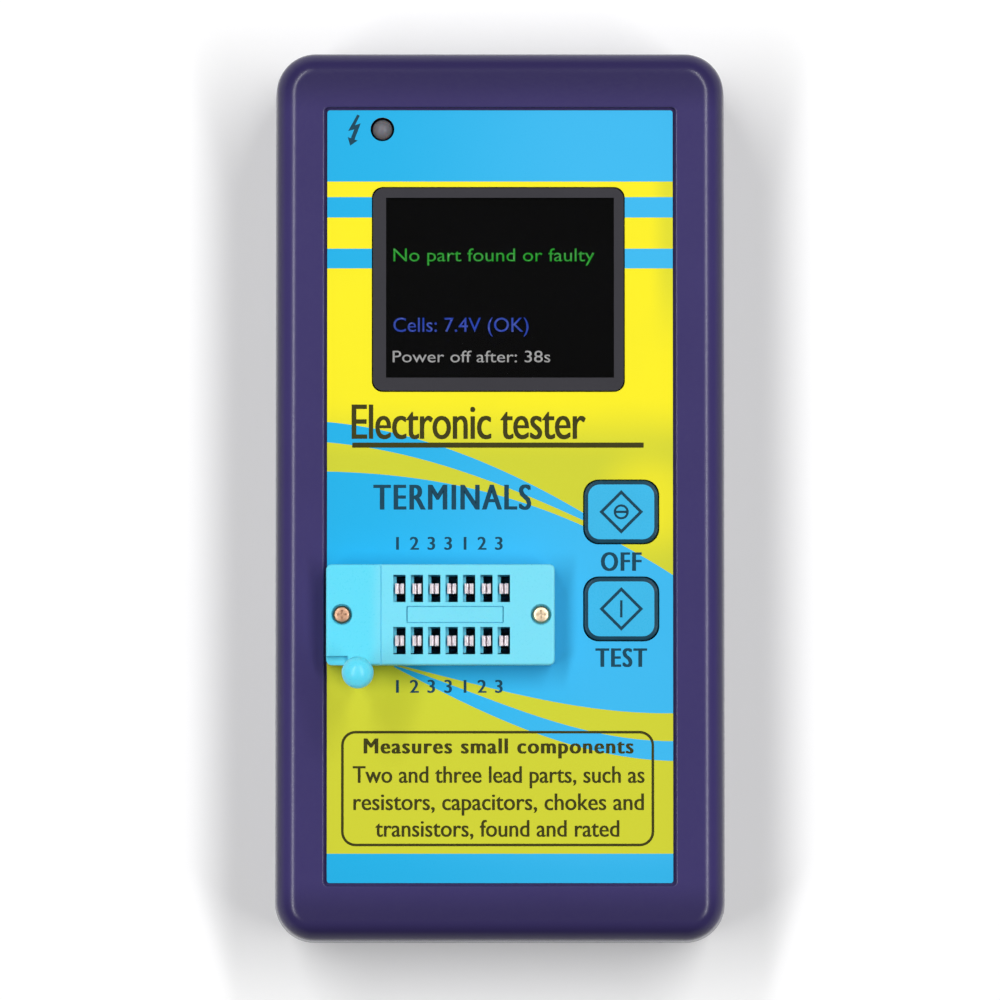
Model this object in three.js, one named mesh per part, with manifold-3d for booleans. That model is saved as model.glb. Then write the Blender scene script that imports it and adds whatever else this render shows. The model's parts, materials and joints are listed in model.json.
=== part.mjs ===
// Handheld component tester: a two-shell case with a printed front overlay, a small colour display, two push
// keys, a charge lamp and a lever-operated 14-way test socket, with its board and cells inside.
//
// Millimetres. The tester lies on its back: X across the face, Y towards the display end, Z out of the face.
// The origin is the middle of the back face.

import * as THREE from "three";
import { mergeVertices } from "three/addons/utils/BufferGeometryUtils.js";
import Module from "manifold-3d";

const wasm = await Module();
wasm.setup();

// ---------------------------------------------------------------- driving dimensions

const CASE = { w: 66.6, l: 131.4, h: 27, corner: 5.8, roll: 3, draft: 0.5, wall: 2.2 };
const SEAM_Z = CASE.h / 2;
const PANEL_Z = 24; // underside of the front panel
const RECESS = { w: 51.6, l: 114.4, r: 0.6, floor: 26 };
const LIP = { height: 1.5, thick: 0.9, gap: 0.3 };
const CLEAR = 0.3; // gap between pieces that one another's shape is cut for
const CONTACT = 0.05; // gap between flat faces that lie on each other

const OVERLAY = { w: 50.8, l: 113.6, r: 0.4, z0: RECESS.floor + CONTACT, z1: 26.4 };
const WINDOW = { x: -0.25, y: 30.4, w: 36.9, l: 29.9, r: 1.6, z0: 25.1, z1: 26.5 };
const SCREEN = { x: 0, y: 30.65, w: 33.5, l: 26.5 }; // lit area seen through the window
const LAMP = { x: -17.3, y: 54, r: 1.5 };

const BOARD = { w: 59, l: 109.4, z0: 18.4, z1: 20, tabW: 42, tabY: 62.4 };
const CASE_BOSS = { x: 26.2, y: 58.8, r: 3.6 };
const BOARD_BOSS = { x: 26, y: 51.5, r: 2.6 };

const KEY = { x: 17.8, w: 10.9, l: 9.25, r: 2.3, top: 26.7, travel: 0.4 };
const KEYS = { off: -2.35, test: -16.6 }; // each key's place along Y
const SWITCH = { side: 6, top: 23.5, stemR: 1.7, stemFoot: 22.8 };

const SOCKET = { x: -8.7, y: -17.6, w: 33.4, l: 14.7, seat: 26.7, baseTop: 28.7, coverZ: 29, top: 32.6 };
const NECK = { w: 31.4, l: 12.7 }; // the part of the socket that passes through the panel
const PITCH = 2.54;
const ROW_Y = 3.81;
const COLUMNS = 7;
const MIDDLE_COLUMN_X = -7.06;
const SLOT = { w: 1.8, l: 4 };
const SOCKET_SCREW_X = { left: -23.1, right: 6 };
const LEVER = { x: -20.6, y: -26.3, z: 29.8, r: 0.8, cam: 1.2, knobR: 2.3, knobFrom: 7.5, knobTo: 16 };
const CAM_Y = SOCKET.y - 4.2;
const SLIDER = { x0: -18.25, x1: 3, l: 11.2, z0: 29.3, z1: 30.9, travel: 1.1 };
const SLIDER_SLOT = { w: 1.9, l: 4.2, shift: 0.5 };

const CELL = { r: 7, l: 48.5, x: 7.4, y: -22, z: 9.8 };
const USB = { x: -6, z0: 20.1, w: 7.6, h: 2.7, l: 5.6 };
const TURN = Math.PI / 2;

// ---------------------------------------------------------------- shapes and solids

function roundedRect(w, l, r, x = 0, y = 0, outline = new THREE.Shape()) {
  const [x0, x1, y0, y1] = [x - w / 2, x + w / 2, y - l / 2, y + l / 2];
  outline.moveTo(x0 + r, y0);
  outline.lineTo(x1 - r, y0);
  outline.absarc(x1 - r, y0 + r, r, -TURN, 0);
  outline.lineTo(x1, y1 - r);
  outline.absarc(x1 - r, y1 - r, r, 0, TURN);
  outline.lineTo(x0 + r, y1);
  outline.absarc(x0 + r, y1 - r, r, TURN, 2 * TURN);
  outline.lineTo(x0, y0 + r);
  outline.absarc(x0 + r, y0 + r, r, 2 * TURN, 3 * TURN);
  return outline;
}

// A round hole in an outline, drawn as four quarters so that it gets as many facets as four rounded corners.
function circle(r, x = 0, y = 0) {
  const outline = new THREE.Path();
  for (let quarter = 0; quarter < 4; quarter += 1) {
    outline.absarc(x, y, r, quarter * TURN, (quarter + 1) * TURN);
  }
  return outline;
}

function slab(outline, z0, z1, curveSegments = 2) {
  const options = { depth: z1 - z0, bevelEnabled: false, curveSegments };
  return new THREE.ExtrudeGeometry(outline, options).translate(0, 0, z0);
}

function block(x0, x1, y0, y1, z0, z1) {
  const cuboid = new THREE.BoxGeometry(x1 - x0, y1 - y0, z1 - z0);
  return cuboid.translate((x0 + x1) / 2, (y0 + y1) / 2, (z0 + z1) / 2);
}

function post(r, z0, z1, x = 0, y = 0, sides = 16) {
  const cylinder = new THREE.CylinderGeometry(r, r, z1 - z0, sides);
  return cylinder.rotateX(TURN).translate(x, y, (z0 + z1) / 2);
}

// A turned piece from a profile of [radius, height] pairs that starts and ends on the axis.
function turned(profile, sides = 16) {
  const points = profile.map(([radius, height]) => new THREE.Vector2(radius, height));
  return new THREE.LatheGeometry(points, sides).rotateX(TURN);
}

function toSolid(geometry) {
  const bare = geometry.clone();
  bare.deleteAttribute("normal");
  bare.deleteAttribute("uv");
  const merged = mergeVertices(bare, 1e-4);
  return new wasm.Manifold(
    new wasm.Mesh({
      numProp: 3,
      vertProperties: new Float32Array(merged.attributes.position.array),
      triVerts: new Uint32Array(merged.index.array),
    }),
  );
}

function toGeometry(solid) {
  const mesh = solid.getMesh();
  const geometry = new THREE.BufferGeometry();
  geometry.setAttribute("position", new THREE.BufferAttribute(mesh.vertProperties, 3));
  geometry.setIndex(new THREE.BufferAttribute(mesh.triVerts, 1));
  geometry.computeVertexNormals();
  return geometry;
}

// Adds one list of geometries to a body, then cuts a second list out of it.
function shaped(body, added, removed) {
  let solid = toSolid(body);
  for (const extra of added) {
    solid = solid.add(toSolid(extra));
  }
  for (const tool of removed) {
    solid = solid.subtract(toSolid(tool));
  }
  return toGeometry(solid);
}

function corners({ x, y }) {
  return [
    [-x, -y],
    [x, -y],
    [-x, y],
    [x, y],
  ];
}

// ---------------------------------------------------------------- materials

const plastic = (color, roughness) => new THREE.MeshStandardMaterial({ color, roughness, metalness: 0 });
const metal = (color, roughness) => new THREE.MeshStandardMaterial({ color, roughness, metalness: 1 });

const MATERIALS = {
  caseAbs: plastic("#453f66", 0.45),
  overlayFilm: plastic("#f4e92c", 0.35),
  windowAcrylic: plastic("#2c2c31", 0.1),
  screenGlass: plastic("#020204", 0.15),
  keyFilm: plastic("#42beeb", 0.35),
  socketNylon: plastic("#6fe0f4", 0.35),
  blackPlastic: plastic("#1b1b1d", 0.5),
  whiteFoam: plastic("#d9d6cc", 0.9),
  boardGreen: plastic("#1d5a33", 0.4),
  polyimide: plastic("#b8741c", 0.35),
  cellWrap: plastic("#2f6fb0", 0.3),
  redPvc: plastic("#c01f1f", 0.45),
  blackPvc: plastic("#151515", 0.45),
  lampEpoxy: plastic("#9aa0a6", 0.15),
  steel: metal("#b9bcc0", 0.3),
  brass: metal("#c9a878", 0.35),
  tin: metal("#d8d9dc", 0.25),
};

const tester = new THREE.Group();

function place(name, geometry, material, [x, y, z] = [0, 0, 0], parent = tester) {
  const mesh = new THREE.Mesh(geometry, MATERIALS[material]);
  mesh.name = name;
  mesh.position.set(x, y, z);
  parent.add(mesh);
  return mesh;
}

// ---------------------------------------------------------------- case

// The whole case as one block: rolled edges front and back, and walls that draw in from the seam.
function caseBlock() {
  const flat = roundedRect(CASE.w - 2 * CASE.roll, CASE.l - 2 * CASE.roll, CASE.corner - CASE.roll);
  const body = new THREE.ExtrudeGeometry(flat, {
    depth: CASE.h - 2 * CASE.roll,
    steps: 2,
    bevelThickness: CASE.roll,
    bevelSize: CASE.roll,
    bevelSegments: 4,
    curveSegments: 3,
  });
  body.translate(0, 0, CASE.roll);
  const at = body.attributes.position;
  for (let i = 0; i < at.count; i += 1) {
    const inset = (CASE.draft * Math.abs(at.getZ(i) - SEAM_Z)) / SEAM_Z;
    at.setX(i, at.getX(i) - Math.sign(at.getX(i)) * inset);
    at.setY(i, at.getY(i) - Math.sign(at.getY(i)) * inset);
  }
  return body;
}

function inner(offset, z0, z1) {
  const wall = CASE.wall - offset;
  return slab(roundedRect(CASE.w - 2 * wall, CASE.l - 2 * wall, CASE.corner - wall), z0, z1);
}

function halfSpace(z0, z1) {
  return block(-CASE.w, CASE.w, -CASE.l, CASE.l, z0, z1);
}

function socketOutline(grow, w = SOCKET.w, l = SOCKET.l, r = 0.8) {
  return roundedRect(w + 2 * grow, l + 2 * grow, r, SOCKET.x, SOCKET.y);
}

function lip() {
  const outer = inner(LIP.thick, SEAM_Z - LIP.height, SEAM_Z + 1);
  return toGeometry(toSolid(outer).subtract(toSolid(inner(0, SEAM_Z - 2, SEAM_Z + 2))));
}

// A rounded opening for the window or a key, grown all round by a margin.
function windowOutline(grow, outline) {
  return roundedRect(WINDOW.w + 2 * grow, WINDOW.l + 2 * grow, WINDOW.r, WINDOW.x, WINDOW.y, outline);
}

function keyOutline(y, grow, outline) {
  return roundedRect(KEY.w + 2 * grow, KEY.l + 2 * grow, KEY.r, KEY.x, y, outline);
}

function frontShell() {
  const bossFoot = SEAM_Z + CLEAR;
  const bosses = [
    ...corners(CASE_BOSS).map(([x, y]) => post(CASE_BOSS.r, bossFoot, PANEL_Z + 0.5, x, y)),
    ...corners(BOARD_BOSS).map(([x, y]) => post(BOARD_BOSS.r, BOARD.z1 + CONTACT, PANEL_Z + 0.5, x, y, 16)),
  ];
  const pilots = [
    ...corners(CASE_BOSS).map(([x, y]) => post(1.4, bossFoot - 1, PANEL_Z - 2, x, y, 12)),
    ...corners(BOARD_BOSS).map(([x, y]) => post(1.1, BOARD.z1 - 1, PANEL_Z, x, y, 12)),
  ];
  const openings = [
    slab(roundedRect(RECESS.w, RECESS.l, RECESS.r), RECESS.floor, CASE.h + 1),
    slab(windowOutline(0.15), 25, 28),
    slab(roundedRect(SCREEN.w + 0.6, SCREEN.l + 0.6, 0.5, SCREEN.x, SCREEN.y), PANEL_Z - 1, 26),
    slab(socketOutline(CLEAR, NECK.w, NECK.l), PANEL_Z - 1, 27),
    ...Object.values(KEYS).map((y) => slab(keyOutline(y, 0.2), PANEL_Z - 1, 27)),
    post(LAMP.r + 0.2, PANEL_Z - 1, 27, LAMP.x, LAMP.y, 16),
    block(USB.x - 4.1, USB.x + 4.1, CASE.l / 2 - 4, CASE.l / 2 + 1, USB.z0 - 0.3, USB.z0 + USB.h + 0.3),
  ];
  const shell = toSolid(caseBlock())
    .subtract(toSolid(halfSpace(-1, SEAM_Z)))
    .subtract(toSolid(inner(0, 0, PANEL_Z)));
  return shaped(toGeometry(shell), [lip(), ...bosses], [...pilots, ...openings]);
}

// One cross rib of the cell cradle: an upright with two round hollows for the cells.
function cradleRib(y) {
  const rib = block(-17, 17, y - 0.8, y + 0.8, CASE.wall - 0.5, CELL.z - 2);
  const hollows = [-CELL.x, CELL.x].map((x) => {
    const hollow = new THREE.CylinderGeometry(CELL.r + CLEAR, CELL.r + CLEAR, 4, 24);
    return hollow.translate(x, y, CELL.z);
  });
  return shaped(rib, [], hollows);
}

function backShell() {
  const seatZ = 6.2;
  const bosses = corners(CASE_BOSS).map(([x, y]) => post(CASE_BOSS.r, 1, SEAM_Z, x, y));
  const ribs = [CELL.y - 16, CELL.y + 16].map(cradleRib);
  const cuts = corners(CASE_BOSS).flatMap(([x, y]) => [
    post(2.7, -1, seatZ, x, y, 16),
    post(1.6, seatZ - 1, SEAM_Z + 1, x, y, 12),
  ]);
  const rebate = inner(LIP.thick + LIP.gap, SEAM_Z - LIP.height - LIP.gap, SEAM_Z + 1);
  const shell = toSolid(caseBlock())
    .subtract(toSolid(halfSpace(SEAM_Z - CONTACT, CASE.h + 1)))
    .subtract(toSolid(inner(0, CASE.wall, CASE.h)))
    .subtract(toSolid(rebate));
  return shaped(toGeometry(shell), [...bosses, ...ribs], [halfSpace(SEAM_Z - CONTACT, CASE.h + 1), ...cuts]);
}

// Pan-head screw standing on its head, point up, with a cross recess in the head.
function screw(headR, headH, shankR, length) {
  const profile = [
    [0, 0],
    [headR * 0.7, 0],
    [headR, headH * 0.45],
    [headR, headH],
    [shankR, headH],
    [shankR, headH + length - shankR],
    [0, headH + length],
  ];
  const arm = headR * 0.6;
  const wide = headR * 0.13;
  const depth = headH * 0.5;
  return shaped(turned(profile, 12), [], [
    block(-arm, arm, -wide, wide, -1, depth),
    block(-wide, wide, -arm, arm, -1, depth),
  ]);
}

place("front_shell", frontShell(), "caseAbs");
place("back_shell", backShell(), "caseAbs");
corners(CASE_BOSS).forEach(([x, y], i) => {
  place(`case_screw_${i + 1}`, screw(2.4, 1.8, 1.2, 13.5), "steel", [x, y, 4.3]);
});

// ---------------------------------------------------------------- front overlay, window and lamp

function overlay() {
  const film = roundedRect(OVERLAY.w, OVERLAY.l, OVERLAY.r);
  film.holes.push(windowOutline(0.15, new THREE.Path()));
  film.holes.push(roundedRect(NECK.w + 0.4, NECK.l + 0.4, 0.8, SOCKET.x, SOCKET.y, new THREE.Path()));
  film.holes.push(circle(LAMP.r + 0.2, LAMP.x, LAMP.y));
  for (const y of Object.values(KEYS)) {
    film.holes.push(keyOutline(y, 0.15, new THREE.Path()));
  }
  return slab(film, OVERLAY.z0, OVERLAY.z1);
}

place("front_overlay", overlay(), "overlayFilm");
place(
  "display_window",
  slab(roundedRect(WINDOW.w, WINDOW.l, WINDOW.r), WINDOW.z0, WINDOW.z1),
  "windowAcrylic",
  [WINDOW.x, WINDOW.y, 0],
);

// Lamp: a 3 mm round-top light-emitting diode on a collar.
const lampBody = turned([
  [0, 0],
  [1.9, 0],
  [1.9, 1],
  [LAMP.r, 1],
  [LAMP.r, 5.3],
  [LAMP.r * 0.87, 5.95],
  [LAMP.r * 0.5, 6.4],
  [0, 6.55],
]);
place("charge_lamp", lampBody, "lampEpoxy", [LAMP.x, LAMP.y, BOARD.z1 + CONTACT]);

// ---------------------------------------------------------------- display module

const displayFoam = block(-20, 20, -13, 13, BOARD.z1 + CONTACT, 20.8);
place("display_pad", displayFoam, "whiteFoam", [SCREEN.x, SCREEN.y, 0]);

function displayFrame() {
  const tray = block(-23.3, 23.3, -17, 17, 20.85, 23.4);
  return shaped(tray, [], [block(-22.6, 22.6, -16.3, 18, 21.5, 24), block(-15, 15, -18, -16, 22.3, 24)]);
}
place("display_frame", displayFrame(), "steel", [SCREEN.x, SCREEN.y, 0]);
place("display_glass", block(-22.3, 22.3, -16, 16.4, 21.6, 23.9), "screenGlass", [SCREEN.x, SCREEN.y, 0]);

// Flexible tail of the display: leaves the glass at its lower edge and steps down to the board.
function displayRibbon() {
  const run = [
    [-16.2, 22.9],
    [-18.2, 22.9],
    [-20.6, 20.1],
    [-26, 20.1],
  ];
  const thick = 0.3;
  const side = new THREE.Shape();
  side.moveTo(...run[0]);
  run.slice(1).forEach(([y, z]) => side.lineTo(y, z));
  [...run].reverse().forEach(([y, z]) => side.lineTo(y, z + thick));
  const strip = new THREE.ExtrudeGeometry(side, { depth: 22, bevelEnabled: false });
  return strip.rotateZ(TURN).rotateY(TURN).translate(-11, 0, 0);
}
place("display_ribbon", displayRibbon(), "polyimide", [SCREEN.x, SCREEN.y, 0]);

// ---------------------------------------------------------------- board

function pinPlaces() {
  const places = [];
  for (const [row, y] of [["top", ROW_Y], ["bottom", -ROW_Y]]) {
    for (let i = 0; i < COLUMNS; i += 1) {
      places.push({ name: `contact_${row}_${i + 1}`, x: MIDDLE_COLUMN_X + (i - 3) * PITCH, y: SOCKET.y + y });
    }
  }
  return places;
}

// The board's outline, with a tab between the upper bosses that carries the charging inlet to the end wall.
function board() {
  const [w, l, tab] = [BOARD.w / 2, BOARD.l / 2, BOARD.tabW / 2];
  const outline = new THREE.Shape();
  outline.moveTo(-w, -l);
  outline.lineTo(w, -l);
  outline.lineTo(w, l);
  outline.lineTo(tab, l);
  outline.lineTo(tab, BOARD.tabY);
  outline.lineTo(-tab, BOARD.tabY);
  outline.lineTo(-tab, l);
  outline.lineTo(-w, l);
  corners(BOARD_BOSS).forEach(([x, y]) => outline.holes.push(circle(1.3, x, y)));
  pinPlaces().forEach(({ x, y }) => outline.holes.push(circle(0.6, x, y)));
  return slab(outline, BOARD.z0, BOARD.z1, 1);
}

place("main_board", board(), "boardGreen");
corners(BOARD_BOSS).forEach(([x, y], i) => {
  place(`board_screw_${i + 1}`, screw(2.1, 1.4, 0.85, 5), "steel", [x, y, BOARD.z0 - CONTACT - 1.4]);
});

function onBoard(w, l, h, x, y, name, material) {
  place(name, block(-w / 2, w / 2, -l / 2, l / 2, 0, h), material, [x, y, BOARD.z1 + CONTACT]);
}
onBoard(7, 7, 1.2, 10, -36, "processor", "blackPlastic");
onBoard(5, 4, 1.5, 6, 55, "charge_chip", "blackPlastic");

const crystalCan = slab(roundedRect(11, 4.6, 2.2), 0, 3.5);
place("crystal", crystalCan, "tin", [-8, -38, BOARD.z1 + CONTACT]);

const inductorBody = shaped(block(-3.5, 3.5, -3.5, 3.5, 0, 3), [], [post(2.2, 2.5, 4, 0, 0, 16)]);
place("power_inductor", inductorBody, "blackPlastic", [16, 55, BOARD.z1 + CONTACT]);

const capacitorCan = turned([
  [0, 0],
  [2.9, 0],
  [3.15, 0.3],
  [3.15, 5.9],
  [2.9, 6.3],
  [3.15, 6.7],
  [3.15, 7.7],
  [0, 7.7],
]);
place("storage_capacitor", capacitorCan, "tin", [-20, 32, BOARD.z0 - CONTACT - 7.7]);

// ---------------------------------------------------------------- keys and their switches

function keyCap() {
  const cap = slab(roundedRect(KEY.w, KEY.l, KEY.r), 23.5, KEY.top - 0.2);
  const crown = slab(roundedRect(KEY.w - 0.4, KEY.l - 0.4, KEY.r - 0.2), KEY.top - 0.3, KEY.top);
  const flange = slab(roundedRect(KEY.w + 1.7, KEY.l + 1.7, KEY.r), 23.2, 23.8);
  return shaped(cap, [crown, flange], [block(-3.8, 3.8, -3.8, 3.8, 22, 24.4)]);
}

function switchBody() {
  const half = SWITCH.side / 2;
  const housing = block(-half, half, -half, half, BOARD.z1 + CONTACT, SWITCH.top);
  const roomFloor = SWITCH.stemFoot - KEY.travel - 0.2;
  return shaped(housing, [], [post(SWITCH.stemR + CLEAR, roomFloor, SWITCH.top + 1)]);
}

for (const [name, y] of Object.entries(KEYS)) {
  place(`${name}_key`, keyCap(), "keyFilm", [KEY.x, y, 0]);
  place(`${name}_switch_body`, switchBody(), "blackPlastic", [KEY.x, y, 0]);
  place(`${name}_switch_stem`, post(SWITCH.stemR, SWITCH.stemFoot, 24.3), "blackPlastic", [KEY.x, y, 0]);
}

// ---------------------------------------------------------------- test socket

function slots(w, l, z0, z1, offset = 0) {
  const cutter = block(offset - w / 2, offset + w / 2, -l / 2, l / 2, z0, z1);
  return pinPlaces().map(({ x, y }) => cutter.clone().translate(x, y, 0));
}

function camRoom() {
  const room = new THREE.CylinderGeometry(2.3, 2.3, 3.4, 20);
  return room.translate(LEVER.x, CAM_Y, LEVER.z);
}

function axleBore() {
  const bore = new THREE.CylinderGeometry(LEVER.r + 0.2, LEVER.r + 0.2, 6, 16);
  return bore.translate(LEVER.x, CAM_Y - 3.2, LEVER.z);
}

function socketBase() {
  const neck = slab(socketOutline(0, NECK.w, NECK.l), BOARD.z1 + CLEAR, SOCKET.seat + 0.5);
  const head = slab(socketOutline(0), SOCKET.seat, SOCKET.baseTop);
  const pilots = Object.values(SOCKET_SCREW_X).map((x) => post(1, 23, 30, x, SOCKET.y, 12));
  return shaped(neck, [head], [...slots(1.4, 2, BOARD.z1, 30), camRoom(), axleBore(), ...pilots]);
}

function socketCover() {
  const cap = slab(socketOutline(0), SOCKET.coverZ, SOCKET.top, 3);
  const well = SLIDER.travel + CLEAR;
  const sliderRoom = block(
    SLIDER.x0 - well,
    SLIDER.x1 + CLEAR,
    SOCKET.y - SLIDER.l / 2 - CLEAR,
    SOCKET.y + SLIDER.l / 2 + CLEAR,
    28,
    SLIDER.z1 + CLEAR,
  );
  const finger = slab(roundedRect(14.2, 2.35, 0.2, MIDDLE_COLUMN_X + 0.5, SOCKET.y), SOCKET.top - 0.4, 34);
  const seats = Object.values(SOCKET_SCREW_X).flatMap((x) => [
    post(1.55, SOCKET.top - 1.2, 34, x, SOCKET.y, 16),
    post(1.2, 28, 34, x, SOCKET.y, 12),
  ]);
  const edge = SOCKET.y - SOCKET.l / 2;
  const leverNotch = block(SOCKET.x - SOCKET.w / 2 + 0.6, LEVER.x - 2.6, edge - 1, edge + 0.9, 28, 34);
  return shaped(
    cap,
    [],
    [sliderRoom, finger, ...seats, ...slots(SLOT.w, SLOT.l, 28, 34), camRoom(), axleBore(), leverNotch],
  );
}

function socketSlider() {
  const plate = block(
    SLIDER.x0,
    SLIDER.x1,
    SOCKET.y - SLIDER.l / 2,
    SOCKET.y + SLIDER.l / 2,
    SLIDER.z0,
    SLIDER.z1,
  );
  return shaped(plate, [], slots(SLIDER_SLOT.w, SLIDER_SLOT.l, 28, 32, SLIDER_SLOT.shift));
}

// Contact: a broad sprung head in the cover's slot, a thin neck past the slider, and a pin through the board.
function contact() {
  const neck = block(-0.25, 0.25, -0.7, 0.7, 21, 31.5);
  const head = block(-0.65, 0.65, -0.8, 0.8, 31.1, 31.9);
  const pin = block(-0.25, 0.25, -0.2, 0.2, 17.2, 21.5);
  return shaped(neck, [head, pin], [block(-0.2, 0.2, -1, 1, 31.6, 33)]);
}

place("socket_base", socketBase(), "socketNylon");
place("socket_cover", socketCover(), "socketNylon");
place("socket_slider", socketSlider(), "socketNylon");
pinPlaces().forEach(({ name, x, y }) => place(name, contact(), "tin", [x, y, 0]));

for (const [side, x] of Object.entries(SOCKET_SCREW_X)) {
  const upright = screw(1.3, 0.7, 0.8, 6);
  const fastener = place(`socket_screw_${side}`, upright, "brass", [x, SOCKET.y, SOCKET.top - 1.2 + 0.75]);
  fastener.rotation.x = 2 * TURN;
}

// Lever: a bent steel wire whose lower leg is the axle, with a cam on its end.
function leverWire() {
  const legs = [LEVER.y, LEVER.z];
  const axle = new THREE.CylinderGeometry(LEVER.r, LEVER.r, 6, 16);
  axle.translate(LEVER.x, legs[0] + 3, legs[1]);
  const elbow = new THREE.SphereGeometry(LEVER.r, 16, 10).translate(LEVER.x, legs[0], legs[1]);
  const upright = post(LEVER.r, legs[1], legs[1] + LEVER.knobTo - 3, LEVER.x, legs[0], 16);
  const cam = new THREE.CylinderGeometry(LEVER.r, LEVER.r, 2.2, 16);
  cam.translate(LEVER.x + LEVER.cam, CAM_Y, LEVER.z);
  const web = block(LEVER.x, LEVER.x + LEVER.cam, CAM_Y - 1.1, CAM_Y + 1.1, LEVER.z - 0.6, LEVER.z + 0.6);
  return shaped(axle, [elbow, upright, cam, web], []);
}

function leverKnob() {
  const reach = LEVER.knobTo - LEVER.knobFrom;
  const knob = turned([
    [0, 0],
    [LEVER.knobR * 0.72, 0],
    [LEVER.knobR * 0.87, 0.5],
    [LEVER.knobR, 4],
    [LEVER.knobR, reach - 2],
    [LEVER.knobR * 0.92, reach - 1.1],
    [LEVER.knobR * 0.7, reach - 0.4],
    [LEVER.knobR * 0.35, reach - 0.07],
    [0, reach],
  ]);
  return shaped(knob, [], [post(LEVER.r + 0.1, -1, reach - 3 + CLEAR)]);
}

place("socket_lever", leverWire(), "steel");
place("lever_knob", leverKnob(), "socketNylon", [LEVER.x, LEVER.y, LEVER.z + LEVER.knobFrom]);

// ---------------------------------------------------------------- charging inlet in the upper end wall

function inletShell() {
  const [w, h, skin] = [USB.w / 2, USB.h, 0.3];
  const can = block(-w, w, -USB.l, 0, 0, h);
  return shaped(can, [], [block(-w + skin, w - skin, -USB.l + 1, 1, skin, h - skin)]);
}

const inletY = CASE.l / 2 - 1.2;
place("charging_inlet", inletShell(), "tin", [USB.x, inletY, USB.z0]);
const tongue = block(-2.2, 2.2, -USB.l + 1.1, -0.6, 1.15, 1.75);
place("charging_inlet_tongue", tongue, "blackPlastic", [USB.x, inletY, USB.z0]);

// ---------------------------------------------------------------- cells and their leads

function cell() {
  const profile = [
    [0, 0],
    [CELL.r - 0.4, 0],
    [CELL.r, 0.4],
    [CELL.r, CELL.l - 0.4],
    [CELL.r - 0.4, CELL.l],
    [2.8, CELL.l],
    [2.8, CELL.l + 1],
    [0, CELL.l + 1],
  ];
  return turned(profile, 18).translate(0, 0, -CELL.l / 2);
}

for (const [side, x, turn] of [["left", -CELL.x, -TURN], ["right", CELL.x, TURN]]) {
  place(`battery_cell_${side}`, cell(), "cellWrap", [x, CELL.y, CELL.z]).rotation.x = turn;
}
const linkY = CELL.y - CELL.l / 2 - 1.2;
place("cell_link", block(-11, 11, -0.15, 0.15, -2.5, 2.5), "tin", [0, linkY, CELL.z]);

const PLUG = { x: 0, y: 22, z: BOARD.z0 - CONTACT - 6 };
const headerShroud = shaped(block(-3.5, 3.5, -3, 3, 0, 6), [], [block(-2.9, 2.9, -4, 2.2, -1, 5)]);
place("battery_header", headerShroud, "whiteFoam", [PLUG.x, PLUG.y, PLUG.z]);
place("battery_plug", block(-2.6, 2.6, -5, 1.9, 0.6, 4.6), "whiteFoam", [PLUG.x, PLUG.y, PLUG.z]);

// A battery lead: a round wire along a smooth route from a cell's end to the plug.
function lead(route) {
  const path = new THREE.CatmullRomCurve3(route.map((point) => new THREE.Vector3(...point)));
  const section = new THREE.Shape();
  section.absarc(0, 0, 0.6, 0, 4 * TURN);
  return new THREE.ExtrudeGeometry(section, { steps: 14, extrudePath: path, curveSegments: 4 });
}

const cellEndY = CELL.y + CELL.l / 2 + 1.4;
for (const [colour, side] of [["red", -1], ["black", 1]]) {
  const route = [
    [side * CELL.x, cellEndY, CELL.z],
    [side * CELL.x, cellEndY + 3, CELL.z],
    [side * 4.5, cellEndY + 7, CELL.z + 1],
    [side * 1.3, cellEndY + 10, PLUG.z + 2.2],
    [side * 1.3, PLUG.y - 5.4, PLUG.z + 2.6],
  ];
  place(`battery_lead_${colour}`, lead(route), `${colour}Pvc`);
}

export default tester;
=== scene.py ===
"""Handheld component tester: the visible pieces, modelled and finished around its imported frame."""

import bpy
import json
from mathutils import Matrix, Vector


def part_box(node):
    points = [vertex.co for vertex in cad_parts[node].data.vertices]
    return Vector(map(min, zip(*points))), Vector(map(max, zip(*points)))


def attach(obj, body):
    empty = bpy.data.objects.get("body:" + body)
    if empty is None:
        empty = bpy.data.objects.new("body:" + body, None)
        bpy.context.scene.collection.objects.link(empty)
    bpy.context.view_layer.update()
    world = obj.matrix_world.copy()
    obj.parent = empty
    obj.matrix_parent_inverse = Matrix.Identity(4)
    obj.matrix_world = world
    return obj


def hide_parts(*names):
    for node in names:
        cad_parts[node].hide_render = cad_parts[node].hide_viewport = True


bl_info = {
    "name": "Component Tester",
    "version": (1, 0, 0),
    "blender": (4, 5, 0),
    "location": "View3D > Sidebar > Component Tester",
    "description": "Models a handheld component tester piece by piece, with its printed face and test socket",
    "category": "Object",
}

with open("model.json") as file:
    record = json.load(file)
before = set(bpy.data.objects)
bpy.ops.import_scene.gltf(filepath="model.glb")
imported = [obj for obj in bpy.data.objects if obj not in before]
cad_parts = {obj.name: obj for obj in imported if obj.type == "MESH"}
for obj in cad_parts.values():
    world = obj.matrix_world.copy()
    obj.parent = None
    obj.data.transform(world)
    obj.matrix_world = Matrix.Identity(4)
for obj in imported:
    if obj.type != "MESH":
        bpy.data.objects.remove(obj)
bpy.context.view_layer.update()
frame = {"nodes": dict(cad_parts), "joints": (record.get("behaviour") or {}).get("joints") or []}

import json
import math

import bmesh
import bpy
from mathutils import Vector

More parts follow.
